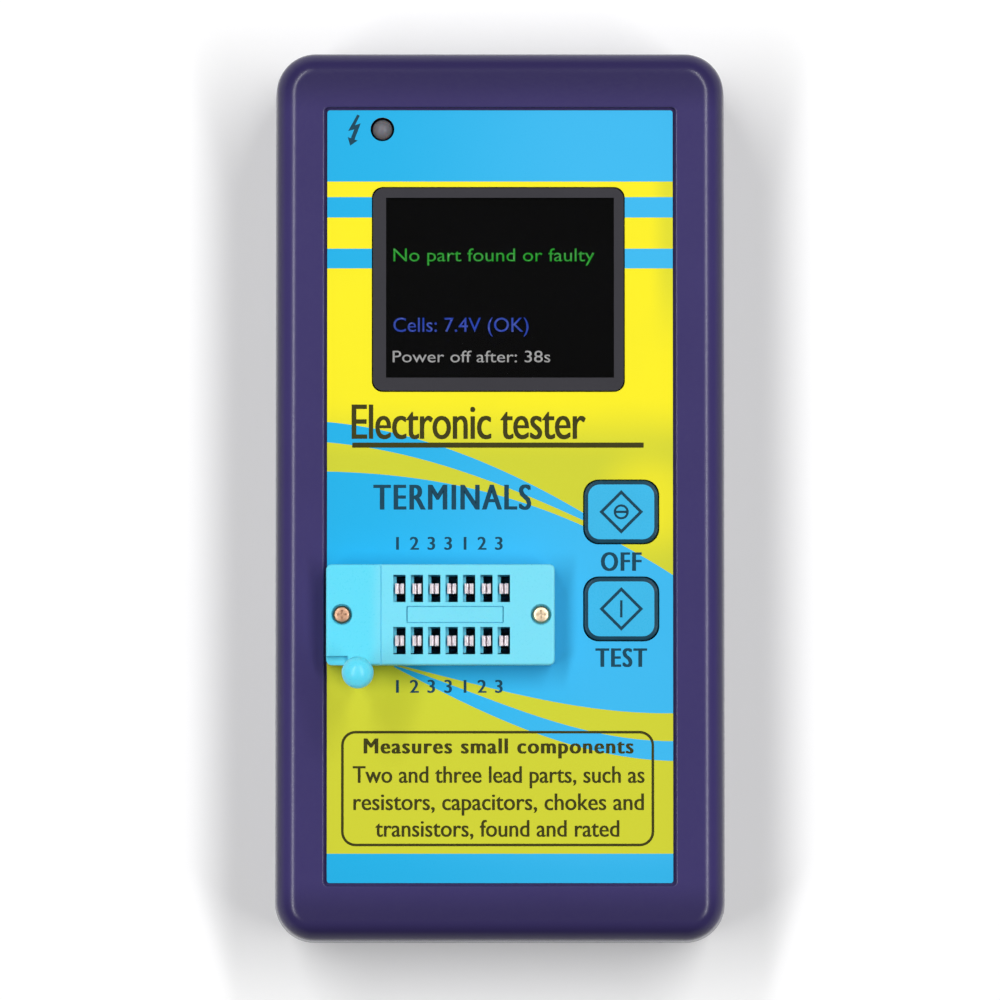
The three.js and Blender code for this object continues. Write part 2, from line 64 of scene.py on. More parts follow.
MM = 0.001
DULL = {"Specular IOR Level": 0.22}  # a velvet or inked face, which reflects little
COATED = {"Specular IOR Level": 0.1}  # glass or clear sheet with a coating against reflections
NEAR = 1e-5  # two places closer than this are the same place
COLUMNS = 7  # columns of contacts in the socket
CAPITAL_HEIGHT = 0.73  # of the built-in font at size 1
INK_STEP = 2e-6  # between layers of ink that cross, in metres
PANEL_UNDER, PANEL_TOP = 24 * MM, 26 * MM  # heights of the sunken panel's two faces
BOSS_RADIUS = 3.6 * MM  # of the posts that the case screws join
INTERNALS = {  # what stays as the frame made it, by the material that it gets
    "BoardMask": ["main_board"],
    "BlackEpoxy": [
        "processor", "charge_chip", "power_inductor", "off_switch_body", "test_switch_body",
        "off_switch_stem", "test_switch_stem",
    ],
    "TinPlate": ["crystal", "cell_link"],
    "DrawnCan": ["storage_capacitor"],
    "DisplayTray": ["display_frame"],
    "WhiteFoam": ["display_pad"],
    "PolyimideTail": ["display_ribbon"],
    "ShrinkWrap": ["battery_cell_left", "battery_cell_right"],
    "WhiteNylon": ["battery_header", "battery_plug"],
    "RedPvc": ["battery_lead_red"],
    "BlackPvc": ["battery_lead_black"],
    "ZincSteel": ["board_screw_1", "board_screw_2", "board_screw_3", "board_screw_4"],
}


def linear(hex_colour):
    """An sRGB hex colour as linear red, green, blue and alpha."""
    parts = [int(hex_colour[i : i + 2], 16) / 255 for i in (1, 3, 5)]
    return (*[c / 12.92 if c <= 0.04045 else ((c + 0.055) / 1.055) ** 2.4 for c in parts], 1.0)


# ---------------------------------------------------------------- what a user would change


def length(name, description, millimetres):
    """A length property, given in millimetres."""
    return bpy.props.FloatProperty(
        name=name, description=description, default=millimetres * MM, min=0, subtype="DISTANCE", unit="LENGTH",
        precision=5,
    )


def colour(name, description, hex_colour):
    """A colour property, given as an sRGB hex value."""
    return bpy.props.FloatVectorProperty(
        name=name, description=description, default=linear(hex_colour), size=4, min=0, max=1, subtype="COLOR",
    )


class TesterSizes(bpy.types.PropertyGroup):
    """Sizes of the shapes that the frame doesn't give."""

    corner: length("Case corner", "Radius of the case's four upright corners", 5.8)
    roll: length("Edge roll", "Radius of the rolled edge round the front and the back", 3.0)
    draft: length("Draft", "How far each wall draws in from the seam to the face", 0.5)
    wall: length("Wall", "Thickness of the case's walls", 2.2)
    seam_groove: length("Seam groove", "Chamfer on each shell along the parting line", 0.22)
    recess_width: length("Recess width", "Width of the sunken panel", 51.6)
    recess_length: length("Recess length", "Length of the sunken panel", 114.4)
    ink: length("Ink", "How far printed ink stands off the overlay", 0.02)
    screen_width: length("Screen width", "Width of the lit area seen through the window", 33.5)
    screen_length: length("Screen length", "Height of the lit area seen through the window", 26.5)
    key_width: length("Key width", "Width of a key's face", 10.9)
    key_length: length("Key length", "Length of a key's face", 9.25)
    key_corner: length("Key corner", "Corner radius of a key's face", 2.3)
    key_line: length("Key line", "Width of the dark line round a key", 0.6)
    pitch: length("Contact pitch", "Distance between neighbouring socket contacts", 2.54)
    row_offset: length("Row offset", "Distance of a contact row from the socket's middle line", 3.81)
    slot_width: length("Slot width", "Width of one socket slot", 1.8)
    slot_length: length("Slot length", "Length of one socket slot", 4.0)
    wire: length("Lever wire", "Radius of the lever's wire", 0.8)


class TesterColours(bpy.types.PropertyGroup):
    """Colours of the main finishes."""

    case: colour("Case", "Violet-blue of the moulded case", "#3d3568")
    # The two yellows and the two blues below are blended across the overlay as painted shade, and the bright yellow
    # also makes a painted highlight beside the keys.
    yellow: colour("Bright yellow", "Overlay yellow round the display", "#fef01c")
    olive: colour("Olive yellow", "Overlay yellow on the lower half", "#d0d232")
    blue: colour("Deep blue", "Overlay blue towards the left", "#1cb1e7")
    sky: colour("Light blue", "Overlay blue towards the right", "#3cb9ef")
    ink_on_blue: colour("Ink on blue", "Dark ink where it crosses the blue print", "#0e3d50")
    ink_on_yellow: colour("Ink on yellow", "Dark ink where it crosses the yellow film", "#363408")
    border: colour("Window border", "Grey print round the display window", "#3a393e")
    key: colour("Key face", "Blue of the key faces", "#3ab2e0")
    key_line: colour("Key line", "Dark teal of the key outlines", "#0f3a4c")
    socket: colour("Socket", "Cyan of the socket mouldings", "#7ae0f6")
    brass: colour("Brass", "Warm metal of the socket's screws", "#e9d3b4")


class TesterView(bpy.types.PropertyGroup):
    """Camera and light."""

    distance: bpy.props.FloatProperty(
        name="Camera distance", description="From the lens to the face", default=1.2, subtype="DISTANCE",
        unit="LENGTH",
    )
    tilt: bpy.props.FloatProperty(
        name="Camera tilt", description="Lean of the view from straight down, towards the socket end",
        default=math.radians(2.5), subtype="ANGLE", unit="ROTATION",
    )
    span: length("View width", "Width that the camera sees at the face", 146.8)
    side_light: bpy.props.FloatProperty(
        name="Side lights", description="Power of the long light on each side", default=10.4, unit="POWER",
    )
    surround: bpy.props.FloatProperty(
        name="Surround", description="Strength of the even light from above", default=0.05,
    )
    horizon: bpy.props.FloatProperty(
        name="Horizon", description="Strength of the backdrop's light, low all round", default=0.75,
    )


def sizes():
    return bpy.context.scene.tester_sizes


def colours():
    return bpy.context.scene.tester_colours


# ---------------------------------------------------------------- modelling


def alone(obj):
    """In object mode, with only this object selected and active."""
    if bpy.context.mode != "OBJECT":
        bpy.ops.object.mode_set(mode="OBJECT")
    bpy.ops.object.select_all(action="DESELECT")
    obj.select_set(True)
    bpy.context.view_layer.objects.active = obj
    return obj


def settled(name):
    """Names the object just added and puts its place and scale in its mesh."""
    obj = alone(bpy.context.active_object)
    obj.name = name
    bpy.ops.object.transform_apply(location=True, rotation=True, scale=True)
    return obj


def added(name, operator, **settings):
    """What an operator adds, alone and under a name of its own."""
    bpy.ops.object.select_all(action="DESELECT")
    operator(**settings)
    return settled(name)


def cuboid(name, low, high):
    """A block from its lowest to its highest corner."""
    low, high = Vector(low), Vector(high)
    if min(high - low) <= 0:
        raise RuntimeError(f"{name}: the corners are the wrong way round")
    return added(name, bpy.ops.mesh.primitive_cube_add, size=1, location=(low + high) / 2, scale=high - low)


def block_about(name, x, y, half_width, half_length, z0, z1):
    """A block about a place on the face."""
    return cuboid(name, (x - half_width, y - half_length, z0), (x + half_width, y + half_length, z1))


def bar(name, radius, start, end, sides=48):
    """A round bar from one point to another along X, Y or Z, or a prism where it has few sides."""
    start, end = Vector(start), Vector(end)
    along = end - start
    return added(
        name, bpy.ops.mesh.primitive_cylinder_add, vertices=sides, radius=radius, depth=along.length,
        location=(start + end) / 2, rotation=along.to_track_quat("Z", "Y").to_euler(),
    )


def post(name, radius, place, z0, z1, sides=48):
    """An upright round bar at a place on the face."""
    return bar(name, radius, (*place, z0), (*place, z1), sides)


def posts(name, radius, places, z0, z1, sides=48):
    return joined(name, *[post(name, radius, place, z0, z1, sides) for place in places])


def pick(obj, kind, test=lambda part: True):
    """Goes into edit mode with only the vertices, edges or faces selected that pass the test, or with all."""
    alone(obj)
    bpy.ops.object.mode_set(mode="EDIT")
    bpy.ops.mesh.select_mode(type=kind)
    bpy.ops.mesh.select_all(action="DESELECT")
    mesh = bmesh.from_edit_mesh(obj.data)
    chosen = [part for part in {"VERT": mesh.verts, "EDGE": mesh.edges, "FACE": mesh.faces}[kind] if test(part)]
    if not chosen:
        raise RuntimeError(f"{obj.name}: nothing to select")
    for part in chosen:
        part.select_set(True)
    mesh.select_flush_mode()
    bmesh.update_edit_mesh(obj.data)


def done_editing():
    bpy.ops.object.mode_set(mode="OBJECT")


def extruded(x, y, z):
    """Pulls the selected faces out by a distance, in edit mode."""
    bpy.ops.mesh.extrude_region_move(TRANSFORM_OT_translate={"value": (x, y, z)})


def closed_up():
    """Turns every face outwards and leaves edit mode."""
    bpy.ops.mesh.select_all(action="SELECT")
    bpy.ops.mesh.normals_make_consistent(inside=False)
    done_editing()


def upright(edge):
    a, b = edge.verts
    return abs(a.co.x - b.co.x) < NEAR and abs(a.co.y - b.co.y) < NEAR


def level_at(z):
    """A test for the edges, faces or vertices that lie at one height."""

    def test(part):
        return all(abs(v.co.z - z) < NEAR for v in getattr(part, "verts", [part]))

    return test


def rounded(obj, test, radius, steps):
    """Rounds off the edges that pass a test."""
    pick(obj, "EDGE", test)
    bpy.ops.mesh.bevel(offset=radius, offset_type="OFFSET", segments=steps, affect="EDGES", clamp_overlap=True)
    done_editing()
    return obj


def pad(name, low, high, corner, steps=8):
    """A block with rounded upright corners."""
    return rounded(cuboid(name, low, high), upright, corner, steps)


def joined(name, *parts):
    """Several objects as one."""
    alone(parts[0])
    for part in parts:
        part.select_set(True)
    bpy.ops.object.join()
    parts[0].name = name
    return parts[0]


def combined(obj, tool, operation="DIFFERENCE"):
    """Cuts a tool out of a piece, adds it, or keeps what both share. The tool is used up."""
    alone(obj)
    bpy.ops.object.modifier_add(type="BOOLEAN")
    step = obj.modifiers[-1]
    step.object = tool
    step.operation = operation
    step.solver = "EXACT"
    bpy.ops.object.modifier_apply(modifier=step.name)
    bpy.data.objects.remove(tool)
    return obj


def copied(obj, name, shift=(0, 0, 0)):
    """A copy with a mesh of its own, moved by a shift."""
    alone(obj)
    bpy.ops.object.duplicate(linked=False)
    copy = bpy.context.active_object
    copy.location = shift
    return settled(name)


def turned(name, profile, at=(0, 0, 0), sides=48):
    """A round piece that grows upwards from a disc, ring by ring, through [radius, height] pairs."""
    at = Vector(at)
    radius, height = profile[0]
    obj = added(
        name, bpy.ops.mesh.primitive_circle_add, vertices=sides, radius=radius, fill_type="NGON",
        location=at + Vector((0, 0, height)),
    )
    bpy.ops.object.mode_set(mode="EDIT")
    bpy.ops.mesh.select_mode(type="FACE")
    bpy.ops.mesh.select_all(action="SELECT")
    for next_radius, next_height in profile[1:]:
        extruded(0, 0, next_height - height)
        ratio = next_radius / radius
        bpy.ops.transform.resize(
            value=(ratio, ratio, 1), center_override=(at.x, at.y, at.z + next_height),
        )
        radius, height = next_radius, next_height
    closed_up()
    return obj


def dressed(obj, slot, nodes, *materials, body="case", crease=32):
    """Gives a finished piece its materials, its shading and the body it rides on, and hides the frame's nodes that
    it stands for.
    """
    alone(obj)
    settled(obj.name)
    if not obj.data.materials:
        for material in materials:
            obj.data.materials.append(bpy.data.materials[material])
    bpy.ops.object.shade_smooth_by_angle(angle=math.radians(crease))
    bpy.ops.object.modifier_add(type="WEIGHTED_NORMAL")
    obj.modifiers[-1].keep_sharp = True
    bpy.ops.object.modifier_apply(modifier=obj.modifiers[-1].name)
    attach(obj, body)
    if nodes:
        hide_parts(*nodes)
    return obj


# ---------------------------------------------------------------- materials


def add_node(tree, kind, inputs=None, **settings):
    """Adds a node. An input given as another node's output is linked to it, and any other value is set."""
    made = tree.nodes.new(kind)
    for name, value in settings.items():
        setattr(made, name, value)
    for name, value in (inputs or {}).items():
        if isinstance(value, bpy.types.NodeSocket):
            tree.links.new(value, made.inputs[name])
        else:
            made.inputs[name].default_value = value
    return made


def blank(name):
    """An empty material, its node tree, and the position that its patterns read."""
    material = bpy.data.materials.new(name)
    material.use_nodes = True
    tree = material.node_tree
    tree.nodes.clear()
    return tree, add_node(tree, "ShaderNodeTexCoord").outputs["Object"]


def close_material(tree, shader):
    add_node(tree, "ShaderNodeOutputMaterial", {"Surface": shader.outputs[0]})


def noise(tree, place, grain, detail=2.0, roughness=0.5):
    """Cloudy grain of a real size in millimetres, as a value about 0.5."""
    return add_node(
        tree, "ShaderNodeTexNoise",
        {"Vector": place, "Scale": 1 / (grain * MM), "Detail": detail, "Roughness": roughness},
    ).outputs["Fac"]


def surface(
    name, colour_a, colour_b, patch=8, rough=0.4, rough_spread=0.1, grain=0.3, depth=0.01, settings=None,
    colour_output=None,
):
    """A finish whose colour drifts between two shades in patches and whose gloss and height vary with its grain.
    Patch, grain and depth are in millimetres."""
    tree, place = blank(name)
    if colour_output is None:
        drift = add_node(
            tree, "ShaderNodeMix",
            {0: noise(tree, place, patch, 3), 6: colour_a, 7: colour_b},
            data_type="RGBA",
        ).outputs[2]
    else:
        drift = colour_output(tree, place)
    fine = noise(tree, place, grain)
    gloss = add_node(
        tree, "ShaderNodeMapRange",
        {"Value": fine, "From Min": 0.3, "From Max": 0.7, "To Min": rough - rough_spread / 2,
         "To Max": rough + rough_spread / 2},
    ).outputs["Result"]
    relief = add_node(tree, "ShaderNodeBump", {"Height": fine, "Strength": 1.0, "Distance": depth * MM})
    shader = add_node(
        tree, "ShaderNodeBsdfPrincipled",
        {"Base Color": drift, "Roughness": gloss, "Normal": relief.outputs[0], **(settings or {})},
    )
    close_material(tree, shader)
    return tree


def shade(rgba, factor):
    """A colour made darker or lighter by a factor."""
    return (*[min(1.0, c * factor) for c in rgba[:3]], 1.0)


def between(tree, value, low, high):
    """A value as 0 at low and 1 at high, with a soft start and end."""
    return add_node(
        tree, "ShaderNodeMapRange", {"Value": value, "From Min": low, "From Max": high},
        interpolation_type="SMOOTHSTEP",
    ).outputs["Result"]


def mixed(tree, factor, a, b):
    return add_node(tree, "ShaderNodeMix", {0: factor, 6: a, 7: b}, data_type="RGBA").outputs[2]


def times(tree, a, b):
    return add_node(tree, "ShaderNodeMath", {0: a, 1: b}, operation="MULTIPLY").outputs[0]


def case_plastic(tree, place):
    """Case colour with shading laid into it: darker over the rolled sides, the two ends and the lower end face."""
    at = add_node(tree, "ShaderNodeSeparateXYZ", {0: place}).outputs
    base = tuple(colours().case)
    far = add_node(tree, "ShaderNodeMath", {0: at["Y"]}, operation="ABSOLUTE").outputs[0]
    wide = add_node(tree, "ShaderNodeMath", {0: at["X"]}, operation="ABSOLUTE").outputs[0]
    drift = mixed(tree, noise(tree, place, 14, 3), shade(base, 0.95), shade(base, 1.08))
    sides = mixed(tree, between(tree, wide, 31.4 * MM, 32.6 * MM), drift, shade(base, 0.55))
    ends = mixed(tree, between(tree, far, 56 * MM, 62 * MM), sides, shade(base, 0.68))
    return mixed(tree, between(tree, at["Y"], -62.5 * MM, -64.5 * MM), ends, shade(base, 0.42))


def socket_resin(tree, place):
    """Socket colour: cyan with faint flow marks, a little deeper over the lever's block."""
    at = add_node(tree, "ShaderNodeSeparateXYZ", {0: place}).outputs
    base = tuple(colours().socket)
    flow = mixed(tree, times(tree, noise(tree, place, 5, 3), 0.5), base, shade(base, 0.92))
    deep = (base[0] * 0.6, base[1] * 0.96, base[2], 1)
    return mixed(tree, between(tree, at["X"], -17 * MM, -19.5 * MM), flow, deep)


def yellow_print(tree, place):
    """Overlay yellow: bright round the display, fading to olive below it as painted shade, with a painted highlight
    beside the keys and a band of painted shade near the right edge.
    """
    at = add_node(tree, "ShaderNodeSeparateXYZ", {0: place}).outputs
    c = colours()
    bright, olive = tuple(c.yellow), tuple(c.olive)
    # Painted shade: the yellow fades to olive below the display.
    down = between(tree, at["Y"], 5 * MM, 15 * MM)
    base = mixed(tree, down, olive, bright)
    # Painted highlight: a bright patch of yellow beside the keys.
    away = add_node(
        tree, "ShaderNodeVectorMath", {0: place, 1: (22 * MM, -1 * MM, 26.4 * MM)}, operation="DISTANCE",
    ).outputs["Value"]
    painted_highlight = times(tree, between(tree, away, 10 * MM, 2 * MM), 0.7)
    base = mixed(tree, painted_highlight, base, bright)
    # Painted shade: the yellow turns olive in a band near the right edge.
    edge = times(
        tree, between(tree, at["X"], 21.5 * MM, 25 * MM), between(tree, at["Y"], 20 * MM, 34 * MM),
    )
    base = mixed(tree, times(tree, edge, 0.6), base, olive)
    return mixed(tree, times(tree, noise(tree, place, 9, 3), 0.18), base, shade(olive, 0.93))


def blue_print(tree, place):
    """Overlay blue: darker on the left and lighter on the right as painted shade, and deeper towards the bottom end.
    """
    at = add_node(tree, "ShaderNodeSeparateXYZ", {0: place}).outputs
    c = colours()
    deep, sky = tuple(c.blue), tuple(c.sky)
    # Painted shade: the blue goes from deep on the left to light on the right.
    base = mixed(tree, between(tree, at["X"], -24 * MM, 16 * MM), deep, sky)
    foot = between(tree, at["Y"], -50 * MM, -56 * MM)
    base = mixed(tree, times(tree, foot, 0.5), base, shade(deep, 0.95))
    return mixed(tree, times(tree, noise(tree, place, 9, 3), 0.12), base, shade(deep, 0.9))


# Metals: name, colour, how dark the patches go, patch, roughness and its spread, grain, depth.
METALS = (
    # Silver-plated spring bronze: bright, finely rubbed by the parts pushed in.
    ("SilverPlate", "#f2e9ec", 0.85, 0.6, 0.36, 0.14, 0.2, 0.002),
    # Copper-flashed steel screw: redder and duller than the brass one.
    ("CopperFlash", "#c79c80", 0.7, 0.9, 0.45, 0.2, 0.18, 0.004),
    # Nickel-plated spring wire: smooth, with faint drawing marks.
    ("NickelWire", "#b6b4ae", 0.88, 1.2, 0.2, 0.12, 0.2, 0.004),
    # Zinc-plated steel: cool grey, softly clouded.
    ("ZincSteel", "#a9adb3", 0.8, 1.2, 0.36, 0.16, 0.2, 0.006),
    # Tin-plated steel: pale and smooth, dulled in patches.
    ("TinPlate", "#c6c8ca", 0.85, 2, 0.28, 0.14, 0.3, 0.004),
    # Drawn aluminium can, lacquered: soft grey metal.
    ("DrawnCan", "#b9bcc2", 0.85, 1.5, 0.3, 0.14, 0.25, 0.005),
    # Pressed steel tray of the display: bright, with a rolled grain.
    ("DisplayTray", "#b3b6ba", 0.88, 4, 0.32, 0.12, 0.3, 0.006),
)
# Finishes inside the case: name, two colours, clear coat, patch, roughness and its spread, grain, depth.
INNER_FINISHES = (
    # Solder mask over copper: glossy green that is darker over the tracks.
    ("BoardMask", "#0f5a2c", "#1c7a41", 0.3, 1.6, 0.3, 0.12, 0.5, 0.02),
    # Closed-cell foam tape: off-white and dull, with visible cells.
    ("WhiteFoam", "#d8d4c8", "#c4bfb1", 0, 1, 0.85, 0.1, 0.4, 0.08),
    # Polyimide flexible circuit: clear amber over copper.
    ("PolyimideTail", "#b06a16", "#8d4d0c", 0.4, 1.2, 0.28, 0.1, 0.5, 0.006),
    # Shrink-wrapped cell: tight glossy blue film with faint wrinkles.
    ("ShrinkWrap", "#1b5fa8", "#174f8c", 0.3, 6, 0.24, 0.1, 1.5, 0.03),
    # Natural nylon: milky white, slightly waxy.
    ("WhiteNylon", "#e6e2d6", "#d6d1c2", 0, 2, 0.42, 0.1, 0.3, 0.006),
    # Soft PVC insulation: even colour, with a slight drag texture.
    ("RedPvc", "#b31414", "#941010", 0, 2, 0.4, 0.1, 0.3, 0.006),
    ("BlackPvc", "#121212", "#1e1e1e", 0, 2, 0.42, 0.1, 0.3, 0.006),
)


def outer_materials():
    c = colours()
    case, socket, brass = tuple(c.case), tuple(c.socket), tuple(c.brass)
    # ABS moulded in a spark-eroded tool: an even, fine stipple that breaks each reflection into a soft band.
    surface("MouldedAbs", case, None, 14, 0.24, 0.06, 0.28, 0.003, {"Specular IOR Level": 0.28}, case_plastic)
    # Screen-printed polyester film with a velvet top: flat colour, a satin sheen and hardly any relief.
    surface("PrintedFilmYellow", None, None, 8, 0.3, 0.06, 0.2, 0.001, DULL, yellow_print)
    surface("PrintedFilmBlue", None, None, 8, 0.3, 0.06, 0.2, 0.001, DULL, blue_print)
    # Dark translucent screen ink, tinted by what it lies over, with slightly uneven cover.
    for name, ink in (("ScreenInkOnBlue", tuple(c.ink_on_blue)), ("ScreenInkOnYellow", tuple(c.ink_on_yellow))):
        surface(name, ink, shade(ink, 1.4), 1.5, 0.3, 0.06, 0.15, 0.001, DULL)
    # Ink printed behind the window: smooth, because it is seen through the clear sheet.
    border = tuple(c.border)
    surface("BorderInk", border, shade(border, 1.15), 6, 0.22, 0.05, 0.5, 0.0005, DULL)
    # Key film over a hard cap: the overlay's blue, with a light satin sheen.
    key = tuple(c.key)
    surface("KeyFilm", key, shade(key, 1.1), 5, 0.28, 0.06, 0.25, 0.001, DULL)
    line = tuple(c.key_line)
    surface("KeyLineInk", line, shade(line, 1.4), 2, 0.3, 0.06, 0.2, 0.001, DULL)
    # Glass-filled polyester moulding: clean cyan that lets a little light in, with faint flow marks.
    surface(
        "SocketPolyester", socket, None, 5, 0.3, 0.08, 0.35, 0.002,
        {"Subsurface Weight": 0.08, "Subsurface Scale": 0.4 * MM, "Specular IOR Level": 0.3}, socket_resin,
    )
    # Display glass, switched on: near black, smooth, with a faint cloudiness.
    surface("DisplayGlass", linear("#000001"), linear("#020204"), 12, 0.05, 0.02, 2, 0.0001, COATED)
    # Turned brass screws, passivated: warm, with uneven darkening.
    surface("PassivatedBrass", brass, shade(brass, 0.7), 0.9, 0.42, 0.2, 0.18, 0.004, {"Metallic": 1.0})
    for name, hex_colour, darker, *finish in METALS:
        tone = linear(hex_colour)
        surface(name, tone, shade(tone, darker), *finish, {"Metallic": 1.0})
    # Tinted epoxy of the unlit lamp: grey, glassy, with some light let through.
    smoke = linear("#73737c")
    surface(
        "LampEpoxy", smoke, shade(smoke, 0.8), 1.5, 0.4, 0.08, 0.4, 0.002,
        {"Subsurface Weight": 0.3, "Subsurface Scale": 1 * MM, "Specular IOR Level": 0.3},
    )
    black = linear("#141416")
    # Glass-filled black plastic: matt, with a fine grain.
    surface("BlackEpoxy", black, shade(black, 1.6), 2, 0.5, 0.14, 0.2, 0.01)


def inner_materials():
    for name, hex_a, hex_b, coat, *finish in INNER_FINISHES:
        surface(name, linear(hex_a), linear(hex_b), *finish, {"Coat Weight": coat} if coat else None)


def window_material():
    """Cast acrylic: clear and polished, with hair scratches that only show in a reflection."""
    tree, place = blank("ClearAcrylic")
    stretch = {"Vector": place, "Scale": (0.12, 1.0, 1.0), "Rotation": (0, 0, 0.6)}
    scratch = add_node(tree, "ShaderNodeMapping", stretch)
    rough = add_node(
        tree, "ShaderNodeMapRange",
        {"Value": noise(tree, scratch.outputs[0], 0.12), "From Min": 0.62, "From Max": 0.75, "To Min": 0.0,
         "To Max": 0.03},
    ).outputs["Result"]
    shader = add_node(
        tree, "ShaderNodeBsdfPrincipled",
        {"Base Color": (1, 1, 1, 1), "Roughness": rough, "IOR": 1.49, "Transmission Weight": 1.0, **COATED},
    )
    close_material(tree, shader)


def readout_materials():
    """Lit characters: each colour of the display, slightly uneven as its grid of dots makes it."""
    for name, hex_colour, strength in (
        ("ReadoutGreen", "#1fd02a", 0.6),
        ("ReadoutBlue", "#1f4fe0", 0.65),
        ("ReadoutWhite", "#dcdcdc", 0.58),
    ):
        tree, place = blank(name)
        lit = linear(hex_colour)
        dots = mixed(tree, noise(tree, place, 0.25), shade(lit, 0.6), lit)
        shader = add_node(
            tree, "ShaderNodeBsdfPrincipled",
            {"Base Color": (0.01, 0.01, 0.01, 1), "Roughness": 0.4, "Emission Color": dots,
             "Emission Strength": strength},
        )
        close_material(tree, shader)


class TESTER_OT_materials(bpy.types.Operator):
    """Make every finish of the tester"""

    bl_idname = "tester.materials"
    bl_label = "Materials"

    def execute(self, context):
        outer_materials()
        inner_materials()
        window_material()
        readout_materials()
        return {"FINISHED"}


# ---------------------------------------------------------------- case


def span_of(*nodes):
    """Lowest and highest corner of several nodes together."""
    boxes = [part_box(node) for node in nodes]
    low = Vector([min(b[0][i] for b in boxes) for i in range(3)])
    high = Vector([max(b[1][i] for b in boxes) for i in range(3)])
    return low, high


def case_box():
    return span_of("front_shell", "back_shell")


def centre(node):
    """Place of a node's middle on the face."""
    low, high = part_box(node)
    return (low.x + high.x) / 2, (low.y + high.y) / 2


def seam_height():
    low, high = case_box()
    return (low.z + high.z) / 2


def case_block(name):
    """The whole case as one body: drafted walls, rounded corners, rolled edges front and back."""
    s = sizes()
    low, high = case_box()
    body = pad(name, low, high, s.corner, 14)
    pick(body, "FACE")
    bpy.ops.mesh.bisect(plane_co=(0, 0, seam_height()), plane_no=(0, 0, 1))
    done_editing()
    draw_in = (1 - s.draft / high.x, 1 - s.draft / high.y, 1)
    for z in (low.z, high.z):
        pick(body, "VERT", level_at(z))
        bpy.ops.transform.resize(value=draw_in, center_override=(0, 0, z))
        done_editing()
    return rounded(body, lambda edge: level_at(low.z)(edge) or level_at(high.z)(edge), s.roll, 10)


def shell_half(name, keep_front):
    """One shell, solid so far, with a chamfer along the parting line."""
    body = case_block(name)
    pick(body, "FACE")
    bpy.ops.mesh.bisect(
        plane_co=(0, 0, seam_height()), plane_no=(0, 0, 1), use_fill=True, clear_inner=keep_front,
        clear_outer=not keep_front,
    )
    done_editing()
    return rounded(body, level_at(seam_height()), sizes().seam_groove, 2)


def cavity(name, offset, z0, z1):
    """The space inside the walls, grown by an offset."""
    s = sizes()
    low, high = case_box()
    inset = s.wall - offset
    return pad(name, (low.x + inset, low.y + inset, z0), (high.x - inset, high.y - inset, z1), s.corner - inset)


def boss_places():
    """Centres of the four case screws."""
    return [centre(f"case_screw_{i}") for i in range(1, 5)]


def panel_openings(name, margin, z0, z1):
    """One tool that opens the panel or the overlay for the window, the socket, the lamp and the keys."""
    s = sizes()
    tools = []
    low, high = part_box("display_window")
    grow = Vector((margin, margin, 0))
    tools.append(pad("window_tool", (low - grow).xy.to_3d() + Vector((0, 0, z0)),
                     (high + grow).xy.to_3d() + Vector((0, 0, z1)), 1.6 * MM))
    low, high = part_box("socket_cover")
    neck = Vector((1 * MM - margin, 1 * MM - margin, 0))
    tools.append(cuboid("socket_tool", (low + neck).xy.to_3d() + Vector((0, 0, z0)),
                        (high - neck).xy.to_3d() + Vector((0, 0, z1))))
    low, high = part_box("charge_lamp")
    middle = (low + high) / 2
    tools.append(bar("lamp_tool", 1.6 * MM + margin, (middle.x, middle.y, z0), (middle.x, middle.y, z1)))
    for key in ("off_key", "test_key"):
        x, y = centre(key)
        w, l = s.key_width / 2 + margin, s.key_length / 2 + margin
        tools.append(pad(f"{key}_tool", (x - w, y - l, z0), (x + w, y + l, z1), s.key_corner))
    return joined(name, *tools)


def front_case():
    s = sizes()
    low, high = case_box()
    seam = seam_height()
    body = shell_half("case_front", True)
    combined(body, cavity("hollow", 0, low.z, PANEL_UNDER))
    rim_x, rim_y = s.recess_width / 2, s.recess_length / 2
    combined(body, pad("recess", (-rim_x, -rim_y, PANEL_TOP), (rim_x, rim_y, high.z + MM), 0.6 * MM, 4))
    rounded(
        body,
        lambda edge: level_at(high.z)(edge) and all(
            abs(v.co.x) < rim_x + NEAR and abs(v.co.y) < rim_y + NEAR for v in edge.verts
        ),
        0.3 * MM,
        3,
    )
    lip = cavity("lip", 0.9 * MM, seam - 1.5 * MM, seam + 0.5 * MM)
    combined(lip, cavity("lip_hollow", 0, seam - 2 * MM, seam + 2 * MM))
    combined(body, lip, "UNION")
    places = boss_places()
    combined(body, posts("bosses", BOSS_RADIUS, places, seam + 0.3 * MM, PANEL_UNDER + 0.5 * MM), "UNION")
    combined(body, posts("pilots", 1.4 * MM, places, seam, PANEL_UNDER - 2 * MM, 24))
    stubs = []
    for i in range(1, 5):
        place = centre(f"board_screw_{i}")
        stub = post("stub", 2.6 * MM, place, 20.05 * MM, PANEL_UNDER + 0.5 * MM)
        stubs.append(combined(stub, post("stub_hole", 1.1 * MM, place, 19 * MM, PANEL_UNDER, 24)))
    combined(body, joined("stubs", *stubs), "UNION")
    combined(body, panel_openings("openings", 0.15 * MM, PANEL_UNDER - MM, high.z + MM))
    a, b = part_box("charging_inlet")
    mouth = rounded(
        cuboid("mouth", (a.x - 0.35 * MM, high.y - 4 * MM, a.z - 0.35 * MM),
               (b.x + 0.35 * MM, high.y + MM, b.z + 0.35 * MM)),
        lambda edge: abs(edge.verts[0].co.y - edge.verts[1].co.y) > 3 * MM,
        0.8 * MM,
        5,
    )
    combined(body, mouth)
    return dressed(body, "case_abs", ["front_shell"], "MouldedAbs", crease=28)


